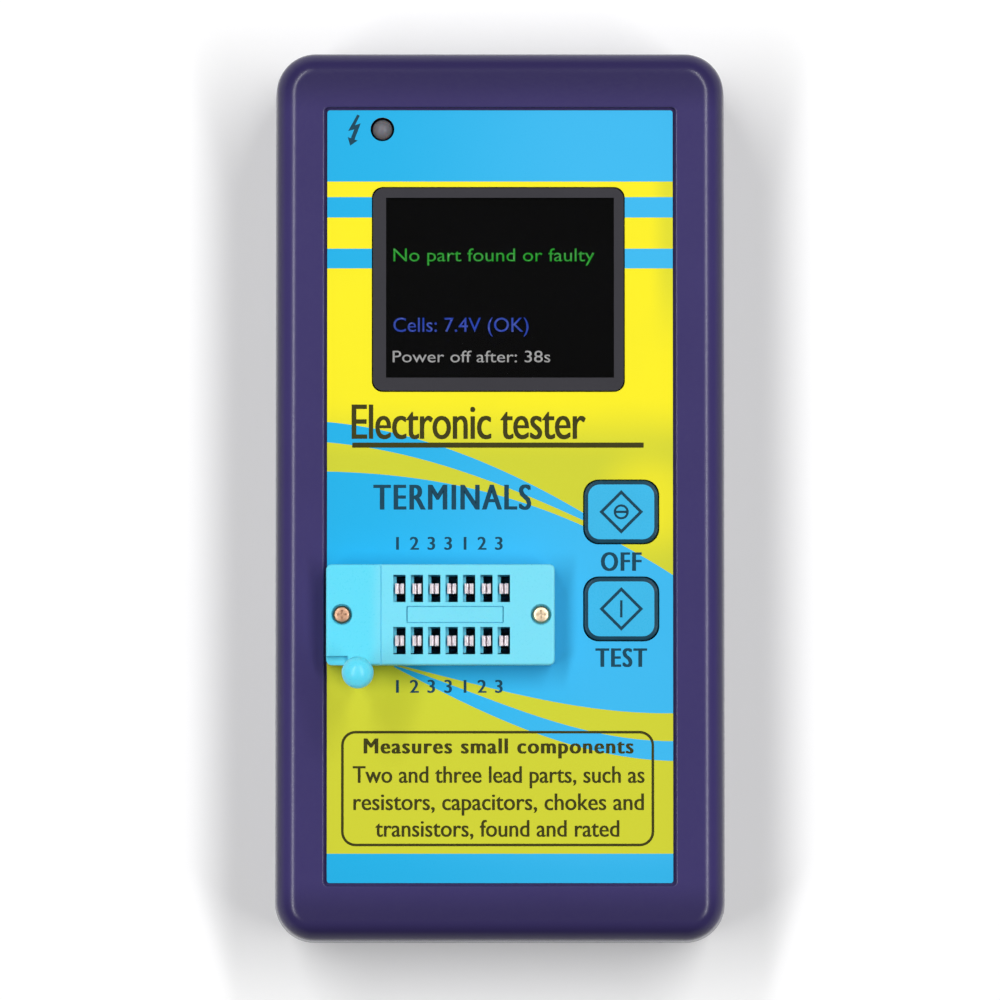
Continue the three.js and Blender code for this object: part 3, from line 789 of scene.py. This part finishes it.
def back_case():
    high = case_box()[1]
    seam = seam_height()
    body = shell_half("case_back", False)
    combined(body, cavity("hollow", 0, sizes().wall, high.z))
    combined(body, cavity("rebate", 1.2 * MM, seam - 1.8 * MM, high.z))
    places = boss_places()
    combined(body, posts("bosses", BOSS_RADIUS, places, MM, seam - 0.05 * MM), "UNION")
    combined(body, posts("wells", 2.7 * MM, places, -MM, 6.2 * MM))
    combined(body, posts("holes", 1.6 * MM, places, 5 * MM, seam + MM, 24))
    a, b = span_of("battery_cell_left", "battery_cell_right")
    for y in (a.y + 8 * MM, b.y - 8 * MM):
        rib = cuboid("rib", (-17 * MM, y - 0.8 * MM, 1.5 * MM), (17 * MM, y + 0.8 * MM, 7.8 * MM))
        for node in ("battery_cell_left", "battery_cell_right"):
            cell_low, cell_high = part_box(node)
            middle = (cell_low + cell_high) / 2
            radius = (cell_high.x - cell_low.x) / 2 + 0.3 * MM
            hollow = bar("cradle", radius, (middle.x, y - 2 * MM, middle.z), (middle.x, y + 2 * MM, middle.z))
            combined(rib, hollow)
        combined(body, rib, "UNION")
    return dressed(body, "case_abs", ["back_shell"], "MouldedAbs", crease=28)


def cross_screw(name, head, height, shank, total):
    """A pan-head screw on its head, point up, with a cross recess and a few turns of thread."""
    profile = [(head * 0.55, 0), (head * 0.8, height * 0.1), (head, height * 0.5), (head, height), (shank, height)]
    turns = 9
    pitch = (total - height - shank) / turns
    for i in range(turns):
        base = height + i * pitch
        profile += [(shank * 0.8, base + pitch * 0.3), (shank, base + pitch * 0.65), (shank * 0.8, base + pitch)]
    profile.append((shank * 0.15, total))
    screw = turned(name, profile, sides=32)
    arm, slot, depth = head * 0.52, head * 0.11, height * 0.55
    cross = [
        cuboid("cross_a", (-arm, -slot, -height), (arm, slot, depth)),
        cuboid("cross_b", (-slot, -arm, -height), (slot, arm, depth)),
    ]
    for blade in cross:
        combined(screw, blade)
    return screw


class TESTER_OT_case(bpy.types.Operator):
    """Model the front and back shells and the four screws that close them"""

    bl_idname = "tester.case"
    bl_label = "Case"

    def execute(self, context):
        front_case()
        back_case()
        low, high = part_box("case_screw_1")
        master = cross_screw("screw_master", (high.x - low.x) / 2, 1.8 * MM, 1.2 * MM, high.z - low.z)
        for i, (x, y) in enumerate(boss_places(), 1):
            screw = copied(master, f"closing_screw_{i}", (x, y, low.z))
            dressed(screw, "screw_steel", [f"case_screw_{i}"], "ZincSteel")
        bpy.data.objects.remove(master)
        return {"FINISHED"}


# ---------------------------------------------------------------- printed overlay


def overlay_blank(name, z0, z1):
    low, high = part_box("front_overlay")
    sheet = pad(name, (low.x, low.y, z0), (high.x, high.y, z1), 0.4 * MM, 4)
    return combined(sheet, panel_openings("cut_outs", 0.15 * MM, z0 - MM, z1 + MM))


def bezier(points, t):
    """A point on the curve that four control points give."""
    a, b, c, d = (Vector(p) for p in points)
    u = 1 - t
    return a * u**3 + b * 3 * t * u**2 + c * 3 * t**2 * u + d * t**3


def sweep(name, upper, lower, z0, z1, steps=48):
    """A printed sweep between two smooth edges, given in millimetres on the face."""
    obj = added(name, bpy.ops.mesh.primitive_grid_add, x_subdivisions=steps, y_subdivisions=1, size=1)
    for vertex in obj.data.vertices:
        place = bezier(upper if vertex.co.y > 0 else lower, vertex.co.x + 0.5)
        vertex.co = (place.x * MM, place.y * MM, z0)
    pick(obj, "FACE")
    extruded(0, 0, z1 - z0)
    closed_up()
    return obj


def blue_areas(z0, z1):
    """Everything that is printed blue: the bands at both ends and the sweeps across the middle."""
    low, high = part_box("front_overlay")
    out = MM
    bands = [
        cuboid("band", (low.x - out, y0 * MM, z0), (high.x + out, y1 * MM, z1))
        for y0, y1 in ((46.3, 57.8), (41.0, 44.0), (33.5, 36.4), (-57.8, -52.5))
    ]
    sweeps = [
        sweep(
            "high_sweep",
            [(-25.6, 10.9), (-9.6, 9.5), (5.1, 2.3), (18.4, -6.3)],
            [(-25.6, 7.9), (-10.0, 6.6), (4.5, 0.2), (18.4, -6.5)],
            z0,
            z1,
        ),
        sweep(
            "broad_sweep",
            [(-25.6, 3.6), (-6.4, 3.2), (9.5, -1.3), (25.5, -11.7)],
            [(-25.6, -22.5), (-8.5, -25.6), (7.8, -32.2), (25.5, -31.9)],
            z0,
            z1,
        ),
        sweep(
            "low_sweep",
            [(-15.5, -24.9), (-3.0, -28.6), (10.5, -36.1), (25.5, -36.0)],
            [(-15.6, -25.1), (-3.6, -31.4), (10.2, -38.6), (25.5, -38.9)],
            z0,
            z1,
        ),
    ]
    return joined("blue_areas", *bands, *sweeps)


class TESTER_OT_overlay(bpy.types.Operator):
    """Model the printed film on the panel, and its blue ink"""

    bl_idname = "tester.overlay"
    bl_label = "Overlay"

    def execute(self, context):
        low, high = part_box("front_overlay")
        film = overlay_blank("overlay_film", low.z, high.z)
        dressed(film, "overlay_film", ["front_overlay"], "PrintedFilmYellow")
        ink = overlay_blank("overlay_blue_ink", high.z, high.z + sizes().ink)
        combined(ink, blue_areas(high.z - MM, high.z + MM), "INTERSECT")
        dressed(ink, "overlay_film", [], "PrintedFilmBlue")
        return {"FINISHED"}


# ---------------------------------------------------------------- lettering


def written(name, text, left, right, baseline, cap, z0, z1, weight=0.0, spacing=1.0):
    """Words as thin solid ink: from left to right on a baseline, with capitals of a set height, and drawn several
    times side by side where a weight makes them bold. Without a right end, they keep the font's own width about the
    left one. All in metres."""
    bpy.ops.object.select_all(action="DESELECT")
    bpy.ops.object.text_add(location=(0, 0, 0))
    obj = bpy.context.active_object
    obj.name = name
    data = obj.data
    data.body = text
    data.resolution_u = 4
    data.space_character = spacing
    data.extrude = 0.01
    bpy.ops.object.convert(target="MESH")
    obj = bpy.context.active_object
    xs = [v.co.x for v in obj.data.vertices]
    tall = cap / CAPITAL_HEIGHT
    if right is None:
        wide = tall
        start = left - (max(xs) - min(xs)) * wide / 2
    else:
        wide = (right - left - 2 * weight) / (max(xs) - min(xs))
        start = left + weight
    for vertex in obj.data.vertices:
        at = vertex.co
        vertex.co = (start + (at.x - min(xs)) * wide, baseline + at.y * tall, z0 if at.z < 0 else z1)
    pick(obj, "VERT")
    bpy.ops.mesh.remove_doubles(threshold=1e-6)
    bpy.ops.mesh.normals_make_consistent(inside=False)
    done_editing()
    if not weight:
        return obj
    strokes = [copied(obj, "stroke", (side * weight, 0, -INK_STEP)) for side in (-1, 1)]
    return joined(name, obj, *strokes)


def line_box(name, low, high, corner, stroke, z0, z1):
    """A printed line in the shape of a rounded box."""
    outer = pad(name, (*low, z0), (*high, z1), corner)
    inner = pad("inside", (low[0] + stroke, low[1] + stroke, z0 - MM), (high[0] - stroke, high[1] - stroke, z1 + MM),
                corner - stroke)
    return combined(outer, inner)


def hoop(name, sides, radius, stroke, at, z0, z1):
    """A printed ring, or a diamond where it has four sides."""
    outer = post(name, radius, at, z0, z1, sides)
    scale = 1 / math.cos(math.pi / sides)
    return combined(outer, post("inside", radius - stroke * scale, at, z0 - MM, z1 + MM, sides))


def charge_mark(z0, z1):
    """The charge lamp's symbol: a jagged arrow, drawn as one thin outline."""
    outline = [
        (-21.0, 56.2), (-22.35, 53.75), (-21.45, 54.0), (-21.95, 52.7), (-22.4, 52.85), (-22.05, 51.6),
        (-20.95, 52.35), (-21.4, 52.5), (-20.5, 54.9), (-21.35, 54.6), (-20.65, 56.0),
    ]
    circle = bpy.ops.mesh.primitive_circle_add
    mark = added("charge_mark", circle, vertices=len(outline), radius=MM, fill_type="NGON")
    for vertex, (x, y) in zip(mark.data.vertices, outline):
        vertex.co = (x * MM, y * MM, z0)
    pick(mark, "FACE")
    extruded(0, 0, z1 - z0)
    closed_up()
    return mark


class TESTER_OT_lettering(bpy.types.Operator):
    """Print the words, numbers, lines and symbols on the overlay"""

    bl_idname = "tester.lettering"
    bl_label = "Lettering"

    def execute(self, context):
        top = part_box("front_overlay")[1].z
        z0, z1 = top - 0.5 * sizes().ink, top + 2 * sizes().ink
        on_blue = [
            ("TERMINALS", -18.6, 4.6, -2.0, 3.9, 0.14, 1.15),
            ("OFF", 14.8, 20.8, -11.0, 2.9, 0.13, 1.15),
            ("TEST", 14.0, 21.6, -25.1, 2.9, 0.13, 1.15),
        ]
        on_yellow = [
            ("Electronic tester", -21.8, 12.6, 8.4, 5.4, 0.08, 0.96),
            ("Measures small components", -20.0, 19.6, -37.8, 2.35, 0.12, 1.15),
            ("Two and three lead parts, such as", -21.6, 21.2, -42.1, 2.6, 0.05, 1.0),
            ("resistors, capacitors, chokes and", -21.5, 21.1, -46.1, 2.6, 0.05, 1.0),
            ("transistors, found and rated", -18.3, 17.5, -50.0, 2.6, 0.05, 1.0),
        ]

        def printed(words):
            return [
                written("word", text, a * MM, b * MM, base * MM, cap * MM, z0, z1, weight * MM, spacing)
                for text, a, b, base, cap, weight, spacing in words
            ]

        prints = printed(on_blue)
        for base in (-7.9, -28.9):
            for i, digit in enumerate("1233123"):
                middle = -15.05 + 2.48 * i
                prints.append(written("digit", digit, middle * MM, None, base * MM, 2.0 * MM, z0, z1, 0.07 * MM))
        prints.append(charge_mark(z0, z1))
        dressed(joined("lettering_on_blue", *prints), "overlay_film", [], "ScreenInkOnBlue", crease=50)

        prints = printed(on_yellow)
        prints.append(cuboid("title_line", (-21.7 * MM, 7.1 * MM, z0), (21.1 * MM, 7.85 * MM, z1)))
        prints.append(line_box("text_box", (-23.3 * MM, -51.4 * MM), (22.6 * MM, -34.5 * MM), 2.1 * MM, 0.37 * MM,
                               z0, z1))
        dressed(joined("lettering_on_yellow", *prints), "overlay_film", [], "ScreenInkOnYellow", crease=50)
        return {"FINISHED"}


# ---------------------------------------------------------------- display


def screen_box():
    """Lowest and highest corner of the lit area, on the display glass."""
    low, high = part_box("display_frame")
    middle = (low + high) / 2
    half = Vector((sizes().screen_width / 2, sizes().screen_length / 2))
    return middle.xy - half, middle.xy + half


class TESTER_OT_display(bpy.types.Operator):
    """Model the window with its printed border, the display glass and the lit readout"""

    bl_idname = "tester.display"
    bl_label = "Display"

    def execute(self, context):
        low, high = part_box("display_window")
        lit_low, lit_high = screen_box()
        pane = pad("window_pane", low, high, 1.6 * MM)
        rounded(pane, level_at(high.z), 0.15 * MM, 3)
        border = pad("window_border", (low.x + 0.02 * MM, low.y + 0.02 * MM, high.z - 0.02 * MM),
                     (high.x - 0.02 * MM, high.y - 0.02 * MM, high.z + 0.03 * MM), 1.6 * MM)
        combined(border, cuboid("lit_area", (*lit_low, low.z), (*lit_high, high.z + MM)))
        dressed(pane, "window_acrylic", ["display_window"], "ClearAcrylic")
        dressed(border, "window_acrylic", [], "BorderInk")
        glass_low, glass_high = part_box("display_glass")
        glass = cuboid("display_panel_glass", glass_low, glass_high)
        rounded(glass, level_at(glass_high.z), 0.3 * MM, 2)
        dressed(glass, "screen_glass", ["display_glass"], "DisplayGlass")
        z = glass_high.z
        for name, text, left, right, base, cap, finish in (
            ("readout_result", "No part found or faulty", -15.7, 13.9, 34.7, 2.0, "ReadoutGreen"),
            ("readout_cells", "Cells: 7.4V (OK)", -15.7, 4.2, 24.3, 2.2, "ReadoutBlue"),
            ("readout_timer", "Power off after: 38s", -15.8, 7.4, 19.8, 1.8, "ReadoutWhite"),
        ):
            line = written(name, text, left * MM, right * MM, base * MM, cap * MM, z - 0.01 * MM, z + 0.02 * MM)
            dressed(line, "screen_glass", [], finish, crease=50)
        return {"FINISHED"}


# ---------------------------------------------------------------- keys and lamp


def key_cap(node, name):
    """A hard cap with a flange under the panel, a dark line round its face and a slightly raised middle."""
    s = sizes()
    low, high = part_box(node)
    x, y = centre(node)
    w, l = s.key_width / 2, s.key_length / 2
    cap = pad(name, (x - w, y - l, low.z + 0.3 * MM), (x + w, y + l, high.z), s.key_corner)
    rounded(cap, level_at(high.z), 0.22 * MM, 4)
    flange = pad("flange", low, (high.x, high.y, low.z + 0.6 * MM), s.key_corner)
    combined(cap, flange, "UNION")
    combined(cap, block_about("pocket", x, y, 3.8 * MM, 3.8 * MM, low.z - MM, low.z + 1.2 * MM))
    for material in ("KeyLineInk", "KeyFilm"):
        cap.data.materials.append(bpy.data.materials[material])
    pick(cap, "FACE", level_at(high.z))
    bpy.ops.mesh.inset(thickness=s.key_line - 0.22 * MM)
    cap.active_material_index = 1
    bpy.ops.object.material_slot_assign()
    bpy.ops.mesh.inset(thickness=0.25 * MM)
    bpy.ops.transform.translate(value=(0, 0, 0.05 * MM))
    done_editing()
    return cap


def key_marks(node, name):
    """The diamond on a key and the sign inside it: a bar to test, a barred ring to switch off."""
    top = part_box(node)[1].z
    at = centre(node)
    z0, z1 = top + 0.03 * MM, top + 0.09 * MM
    marks = [hoop("diamond", 4, 3.2 * MM, 0.42 * MM, at, z0, z1)]
    if node == "off_key":
        marks.append(hoop("ring", 32, 1.1 * MM, 0.32 * MM, at, z0, z1))
        marks.append(block_about("stroke", *at, 0.8 * MM, 0.17 * MM, z0, z1))
    else:
        marks.append(block_about("stroke", *at, 0.17 * MM, 1.25 * MM, z0, z1))
    return joined(name, *marks)


class TESTER_OT_keys(bpy.types.Operator):
    """Model the two keys and the marks on them"""

    bl_idname = "tester.keys"
    bl_label = "Keys"

    def execute(self, context):
        for key in ("off", "test"):
            cap = key_cap(f"{key}_key", f"{key}_key_cap")
            dressed(cap, "key_film", [f"{key}_key"], body=f"{key}_button")
            marks = key_marks(f"{key}_key", f"{key}_key_marks")
            dressed(marks, "key_film", [], "KeyLineInk", body=f"{key}_button")
        return {"FINISHED"}


class TESTER_OT_lamp(bpy.types.Operator):
    """Model the charge lamp"""

    bl_idname = "tester.lamp"
    bl_label = "Charge lamp"

    def execute(self, context):
        low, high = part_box("charge_lamp")
        height = (high.z - low.z) / MM
        r = 1.5
        profile = [(1.9, 0), (1.9, 1), (r, 1)]
        dome = 8
        straight = height - 1.3
        profile.append((r, straight))
        for i in range(1, dome + 1):
            angle = math.radians(90 * i / dome)
            profile.append((max(r * math.cos(angle), 0.03), straight + 1.3 * math.sin(angle)))
        middle = (low + high) / 2
        lamp = turned("charge_lamp_lens", [(a * MM, b * MM) for a, b in profile], (middle.x, middle.y, low.z))
        dressed(lamp, "lamp_epoxy", ["charge_lamp"], "LampEpoxy")
        return {"FINISHED"}


# ---------------------------------------------------------------- test socket


def contact_places():
    """Each contact's node name and place on the face."""
    names = [f"contact_{row}_{i}" for row in ("top", "bottom") for i in range(1, COLUMNS + 1)]
    return [(name, *centre(name)) for name in names]


def slot_tools(name, w, l, z0, z1, shift=0.0):
    tools = [
        block_about("slot", x + shift, y, w / 2, l / 2, z0, z1)
        for _, x, y in contact_places()
    ]
    return joined(name, *tools)


def lever_axis():
    """Point on the lever's axle, from the joint that turns it."""
    joint = next(j for j in frame["joints"] if j["name"] == "lever_turn")
    return Vector(joint["pos_m"])


def cam_room():
    pivot = lever_axis()
    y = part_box("socket_slider")[0].y + 1.4 * MM
    room = bar("room", 2.3 * MM, (pivot.x, y - 1.7 * MM, pivot.z), (pivot.x, y + 1.7 * MM, pivot.z))
    bore = bar("bore", 1.0 * MM, (pivot.x, y - 6.2 * MM, pivot.z), (pivot.x, y, pivot.z))
    return combined(room, bore, "UNION")


def screw_places():
    return [centre(f"socket_screw_{side}") for side in ("left", "right")]


def socket_cover():
    s = sizes()
    low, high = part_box("socket_cover")
    middle_y = (low.y + high.y) / 2
    cover = pad("socket_top", low, high, 0.8 * MM, 6)
    rounded(cover, level_at(high.z), 0.35 * MM, 4)
    combined(cover, slot_tools("slots", s.slot_width, s.slot_length, low.z - MM, high.z + MM))
    a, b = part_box("socket_slider")
    gap = 0.3 * MM
    combined(cover, cuboid("well", (a.x - 1.5 * MM, a.y - gap, low.z - MM), (b.x + gap, b.y + gap, b.z + gap)))
    finger_x = (contact_places()[0][1] + contact_places()[COLUMNS - 1][1]) / 2 + 0.5 * MM
    recess_low = (finger_x - 7.1 * MM, middle_y - 1.25 * MM)
    recess_high = (finger_x + 7.1 * MM, middle_y + 1.25 * MM)
    edge = line_box("finger_recess", recess_low, recess_high, 0.2 * MM, 0.16 * MM, high.z - 0.5 * MM, high.z + MM)
    combined(cover, edge)
    floor_z = high.z - 0.12 * MM
    combined(cover, block_about("recess_floor", finger_x, middle_y, 7 * MM, 1.15 * MM, floor_z, high.z + MM))
    for place in screw_places():
        combined(cover, post("seat", 1.55 * MM, place, high.z - 1.2 * MM, high.z + MM))
        combined(cover, post("shank_hole", 1.2 * MM, place, low.z - MM, high.z))
    step_x = contact_places()[0][1] - 2.6 * MM
    combined(cover, cuboid("step_line", (step_x - 0.2 * MM, low.y - MM, high.z - 0.22 * MM),
                           (step_x, high.y + MM, high.z + MM)))
    notch_end = (lever_axis().x - 1.6 * MM, low.y + 1.3 * MM, high.z + MM)
    combined(cover, cuboid("notch", (low.x - MM, low.y - MM, high.z - 1.2 * MM), notch_end))
    combined(cover, cam_room())
    return dressed(cover, "socket_plastic", ["socket_cover"], "SocketPolyester")


def socket_base():
    s = sizes()
    low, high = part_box("socket_base")
    seat = 26.7 * MM
    inset = 1 * MM
    foot_high = (high.x - inset, high.y - inset, seat + 0.5 * MM)
    neck = pad("socket_foot", (low.x + inset, low.y + inset, low.z), foot_high, 0.8 * MM)
    head = pad("head", (low.x, low.y, seat), high, 0.8 * MM)
    rounded(head, level_at(seat), 0.2 * MM, 2)
    combined(neck, head, "UNION")
    combined(neck, slot_tools("pin_holes", 1.4 * MM, 1.6 * MM, low.z - MM, high.z))
    combined(neck, slot_tools("leaf_rooms", s.slot_width, s.slot_length - 0.2 * MM, low.z + 1.5 * MM, high.z + MM))
    combined(neck, cam_room())
    for place in screw_places():
        combined(neck, post("pilot", 1.0 * MM, place, 23 * MM, high.z + MM, 24))
    return dressed(neck, "socket_plastic", ["socket_base"], "SocketPolyester")


def socket_slider():
    low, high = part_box("socket_slider")
    plate = cuboid("socket_slide", low, high)
    rounded(plate, upright, 0.4 * MM, 3)
    combined(plate, slot_tools("slide_slots", 1.9 * MM, 4.2 * MM, low.z - MM, high.z + MM, 0.5 * MM))
    return dressed(plate, "socket_plastic", ["socket_slider"], "SocketPolyester", body="slider")


def contact_master():
    """One contact at the origin: a pin, a flat neck and two leaves that flare into a mouth."""
    low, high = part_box("contact_top_1")
    foot, top = low.z, high.z
    pin = cuboid("pin", (-0.25 * MM, -0.2 * MM, foot), (0.25 * MM, 0.2 * MM, 21.5 * MM))
    neck = cuboid("neck", (-0.25 * MM, -0.7 * MM, 21 * MM), (0.25 * MM, 0.7 * MM, top - 1.2 * MM))
    contact = combined(pin, neck, "UNION")
    for side in (-1, 1):
        x0, x1 = sorted((side * 0.05 * MM, side * 0.3 * MM))
        leaf = cuboid("leaf", (x0, -0.75 * MM, top - 1.4 * MM), (x1, 0.75 * MM, top - 0.5 * MM))
        pick(leaf, "FACE", lambda face: face.normal.z > 0.9)
        extruded(side * 0.1 * MM, 0, 0.22 * MM)
        extruded(side * 0.25 * MM, 0, 0.22 * MM)
        closed_up()
        combined(contact, leaf, "UNION")
    return contact


class TESTER_OT_socket(bpy.types.Operator):
    """Model the test socket: base, slider, cover, contacts and screws"""

    bl_idname = "tester.socket"
    bl_label = "Test socket"

    def execute(self, context):
        socket_base()
        socket_slider()
        socket_cover()
        master = contact_master()
        for name, x, y in contact_places():
            contact = copied(master, name.replace("contact", "spring_contact"), (x, y, 0))
            dressed(contact, "tinned_metal", [name], "SilverPlate")
        bpy.data.objects.remove(master)
        low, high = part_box("socket_screw_left")
        screw = cross_screw("screw_master", (high.x - low.x) / 2, 0.7 * MM, 0.8 * MM, high.z - low.z)
        alone(screw).rotation_euler = (math.pi, 0, 0)
        settled(screw.name)
        for side, (x, y) in zip(("left", "right"), screw_places()):
            fastener = copied(screw, f"cover_screw_{side}", (x, y, high.z))
            finish = "CopperFlash" if side == "left" else "PassivatedBrass"
            dressed(fastener, "screw_brass", [f"socket_screw_{side}"], finish)
        bpy.data.objects.remove(screw)
        return {"FINISHED"}


class TESTER_OT_lever(bpy.types.Operator):
    """Model the socket's lever: a bent wire with a cam, and its domed knob"""

    bl_idname = "tester.lever"
    bl_label = "Socket lever"

    def execute(self, context):
        s = sizes()
        pivot = lever_axis()
        low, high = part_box("socket_lever")
        bend = 1.4 * MM
        x, y = pivot.x, low.y + s.wire
        wire = added(
            "lever_wire", bpy.ops.mesh.primitive_circle_add, vertices=24, radius=s.wire, fill_type="NGON",
            location=(x, y, high.z),
        )
        bpy.ops.object.mode_set(mode="EDIT")
        bpy.ops.mesh.select_mode(type="FACE")
        bpy.ops.mesh.select_all(action="SELECT")
        extruded(0, 0, pivot.z + bend - high.z)
        bpy.ops.mesh.spin(steps=8, angle=math.radians(-90), center=(x, y + bend, pivot.z + bend), axis=(1, 0, 0))
        extruded(0, high.y - y - bend, 0)
        bpy.ops.mesh.select_all(action="SELECT")
        bpy.ops.mesh.remove_doubles(threshold=1e-6)
        bpy.ops.mesh.normals_make_consistent(inside=False)
        done_editing()
        cam_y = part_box("socket_slider")[0].y + 1.4 * MM
        throw = 1.2 * MM
        y0, y1 = cam_y - 1.1 * MM, cam_y + 1.1 * MM
        cam = bar("cam", s.wire, (x + throw, y0, pivot.z), (x + throw, y1, pivot.z), 24)
        web = cuboid("web", (x, y0, pivot.z - 0.7 * MM), (x + throw, y1, pivot.z + 0.7 * MM))
        combined(wire, cam, "UNION")
        combined(wire, web, "UNION")
        dressed(wire, "lever_steel", ["socket_lever"], "NickelWire", body="lever")

        low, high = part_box("lever_knob")
        r, tall = (high.x - low.x) / 2, high.z - low.z
        profile = [(r * 0.66, 0), (r * 0.76, 0.25 * MM), (r * 0.86, 1.4 * MM), (r, 4 * MM)]
        dome, steps = 1.9 * MM, 9
        for i in range(steps + 1):
            angle = math.radians(90 * i / steps)
            profile.append((max(r * math.cos(angle) ** 0.9, 0.05 * MM), tall - dome + dome * math.sin(angle)))
        knob = turned("lever_grip", profile, (*centre("lever_knob"), low.z))
        combined(knob, post("grip_hole", s.wire + 0.1 * MM, (x, y), low.z - MM, high.z - 2.6 * MM, 24))
        dressed(knob, "socket_plastic", ["lever_knob"], "SocketPolyester", body="lever")
        return {"FINISHED"}


# ---------------------------------------------------------------- charging inlet and inner parts


class TESTER_OT_inlet(bpy.types.Operator):
    """Model the charging inlet in the end wall"""

    bl_idname = "tester.inlet"
    bl_label = "Charging inlet"

    def execute(self, context):
        low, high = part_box("charging_inlet")
        shell = cuboid("inlet_shell", low, high)
        rounded(shell, lambda edge: abs(edge.verts[0].co.y - edge.verts[1].co.y) > 3 * MM, 0.7 * MM, 5)
        pick(shell, "FACE", lambda face: face.normal.y > 0.9)
        bpy.ops.mesh.inset(thickness=0.25 * MM)
        extruded(0, -4.6 * MM, 0)
        done_editing()
        dressed(shell, "tinned_metal", ["charging_inlet"], "TinPlate")
        low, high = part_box("charging_inlet_tongue")
        tongue = cuboid("inlet_tongue", low, high)
        rounded(tongue, lambda edge: edge.verts[0].co.y > high.y - NEAR and edge.verts[1].co.y > high.y - NEAR,
                0.15 * MM, 2)
        dressed(tongue, "black_plastic", ["charging_inlet_tongue"], "BlackEpoxy")
        return {"FINISHED"}


class TESTER_OT_inner_parts(bpy.types.Operator):
    """Finish the pieces inside the case, which keep the shapes that the frame gives"""

    bl_idname = "tester.inner_parts"
    bl_label = "Inner parts"

    def execute(self, context):
        for material, nodes in INTERNALS.items():
            for name in nodes:
                node = frame["nodes"][name]
                node.data.materials.clear()
                node.data.materials.append(bpy.data.materials[material])
        return {"FINISHED"}


# ---------------------------------------------------------------- stage


def softbox(name, place, size, power):
    """A rectangular light that faces the tester."""
    bpy.ops.object.select_all(action="DESELECT")
    aim = Vector((0, 0, 0.02)) - Vector(place)
    bpy.ops.object.light_add(type="AREA", location=place, rotation=aim.to_track_quat("-Z", "Y").to_euler())
    light = bpy.context.active_object
    light.name = name
    light.data.shape = "RECTANGLE"
    light.data.size, light.data.size_y = size
    light.data.energy = power


class TESTER_OT_stage(bpy.types.Operator):
    """Set up the pale floor, the soft lights and the camera"""

    bl_idname = "tester.stage"
    bl_label = "Stage"

    def execute(self, context):
        view = context.scene.tester_view
        floor = added("floor", bpy.ops.mesh.primitive_plane_add, size=3.2, location=(0, 0, -0.05 * MM))
        pale = linear("#fcfcfc")
        surface(
            "PaleBoard", pale, shade(pale, 0.99), 120, 0.7, 0.05, 3, 0.01,
            {"Emission Color": pale, "Emission Strength": 0.06},
        )
        floor.data.materials.append(bpy.data.materials["PaleBoard"])

        softbox("side_light_left", (-0.5, 0.15, 1.24), (1.3, 0.12), view.side_light)
        softbox("side_light_right", (0.5, 0.15, 1.24), (1.3, 0.12), view.side_light)

        world = bpy.data.worlds.new("studio")
        context.scene.world = world
        world.use_nodes = True
        tree = world.node_tree
        tree.nodes.clear()
        way = add_node(tree, "ShaderNodeTexCoord").outputs["Generated"]
        height = add_node(tree, "ShaderNodeSeparateXYZ", {0: way}).outputs["Z"]
        low_sky, high_sky = (*[view.horizon] * 3, 1), (*[view.surround] * 3, 1)
        sky = mixed(tree, between(tree, height, 0.1, 0.36), low_sky, high_sky)
        background = add_node(tree, "ShaderNodeBackground", {"Color": sky, "Strength": 1.0})
        add_node(tree, "ShaderNodeOutputWorld", {"Surface": background.outputs[0]})
        context.scene.view_settings.view_transform = "Standard"

        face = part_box("front_shell")[1].z
        lean = Vector((0, -math.sin(view.tilt), math.cos(view.tilt)))
        aim = Vector((0, -0.62 * MM, face))
        bpy.ops.object.camera_add(location=aim + lean * view.distance, rotation=(view.tilt, 0, 0))
        camera = bpy.context.active_object
        camera.data.lens = camera.data.sensor_width * view.distance / view.span
        camera.data.clip_end = 10
        context.scene.camera = camera
        return {"FINISHED"}


# ---------------------------------------------------------------- add-on


PIECES = (
    TESTER_OT_materials, TESTER_OT_case, TESTER_OT_overlay, TESTER_OT_lettering, TESTER_OT_display, TESTER_OT_keys,
    TESTER_OT_lamp, TESTER_OT_socket, TESTER_OT_lever, TESTER_OT_inlet, TESTER_OT_inner_parts, TESTER_OT_stage,
)


class TESTER_PT_panel(bpy.types.Panel):
    """Lists the tester's sizes, colours and pieces"""

    bl_idname = "TESTER_PT_panel"
    bl_label = "Component Tester"
    bl_space_type = "VIEW_3D"
    bl_region_type = "UI"
    bl_category = "Component Tester"

    def draw(self, context):
        scene = context.scene
        for group in (scene.tester_sizes, scene.tester_colours, scene.tester_view):
            box = self.layout.box()
            for name in group.__annotations__:
                box.prop(group, name)
        for piece in PIECES:
            self.layout.operator(piece.bl_idname)


CLASSES = (TesterSizes, TesterColours, TesterView, *PIECES, TESTER_PT_panel)


def register():
    for cls in CLASSES:
        bpy.utils.register_class(cls)
    bpy.types.Scene.tester_sizes = bpy.props.PointerProperty(type=TesterSizes)
    bpy.types.Scene.tester_colours = bpy.props.PointerProperty(type=TesterColours)
    bpy.types.Scene.tester_view = bpy.props.PointerProperty(type=TesterView)


def unregister():
    del bpy.types.Scene.tester_view
    del bpy.types.Scene.tester_colours
    del bpy.types.Scene.tester_sizes
    for cls in reversed(CLASSES):
        bpy.utils.unregister_class(cls)


def main():
    register()
    for piece in PIECES:
        group, name = piece.bl_idname.split(".")
        getattr(getattr(bpy.ops, group), name)()
    bpy.context.view_layer.update()


if __name__ == "__main__":
    main()
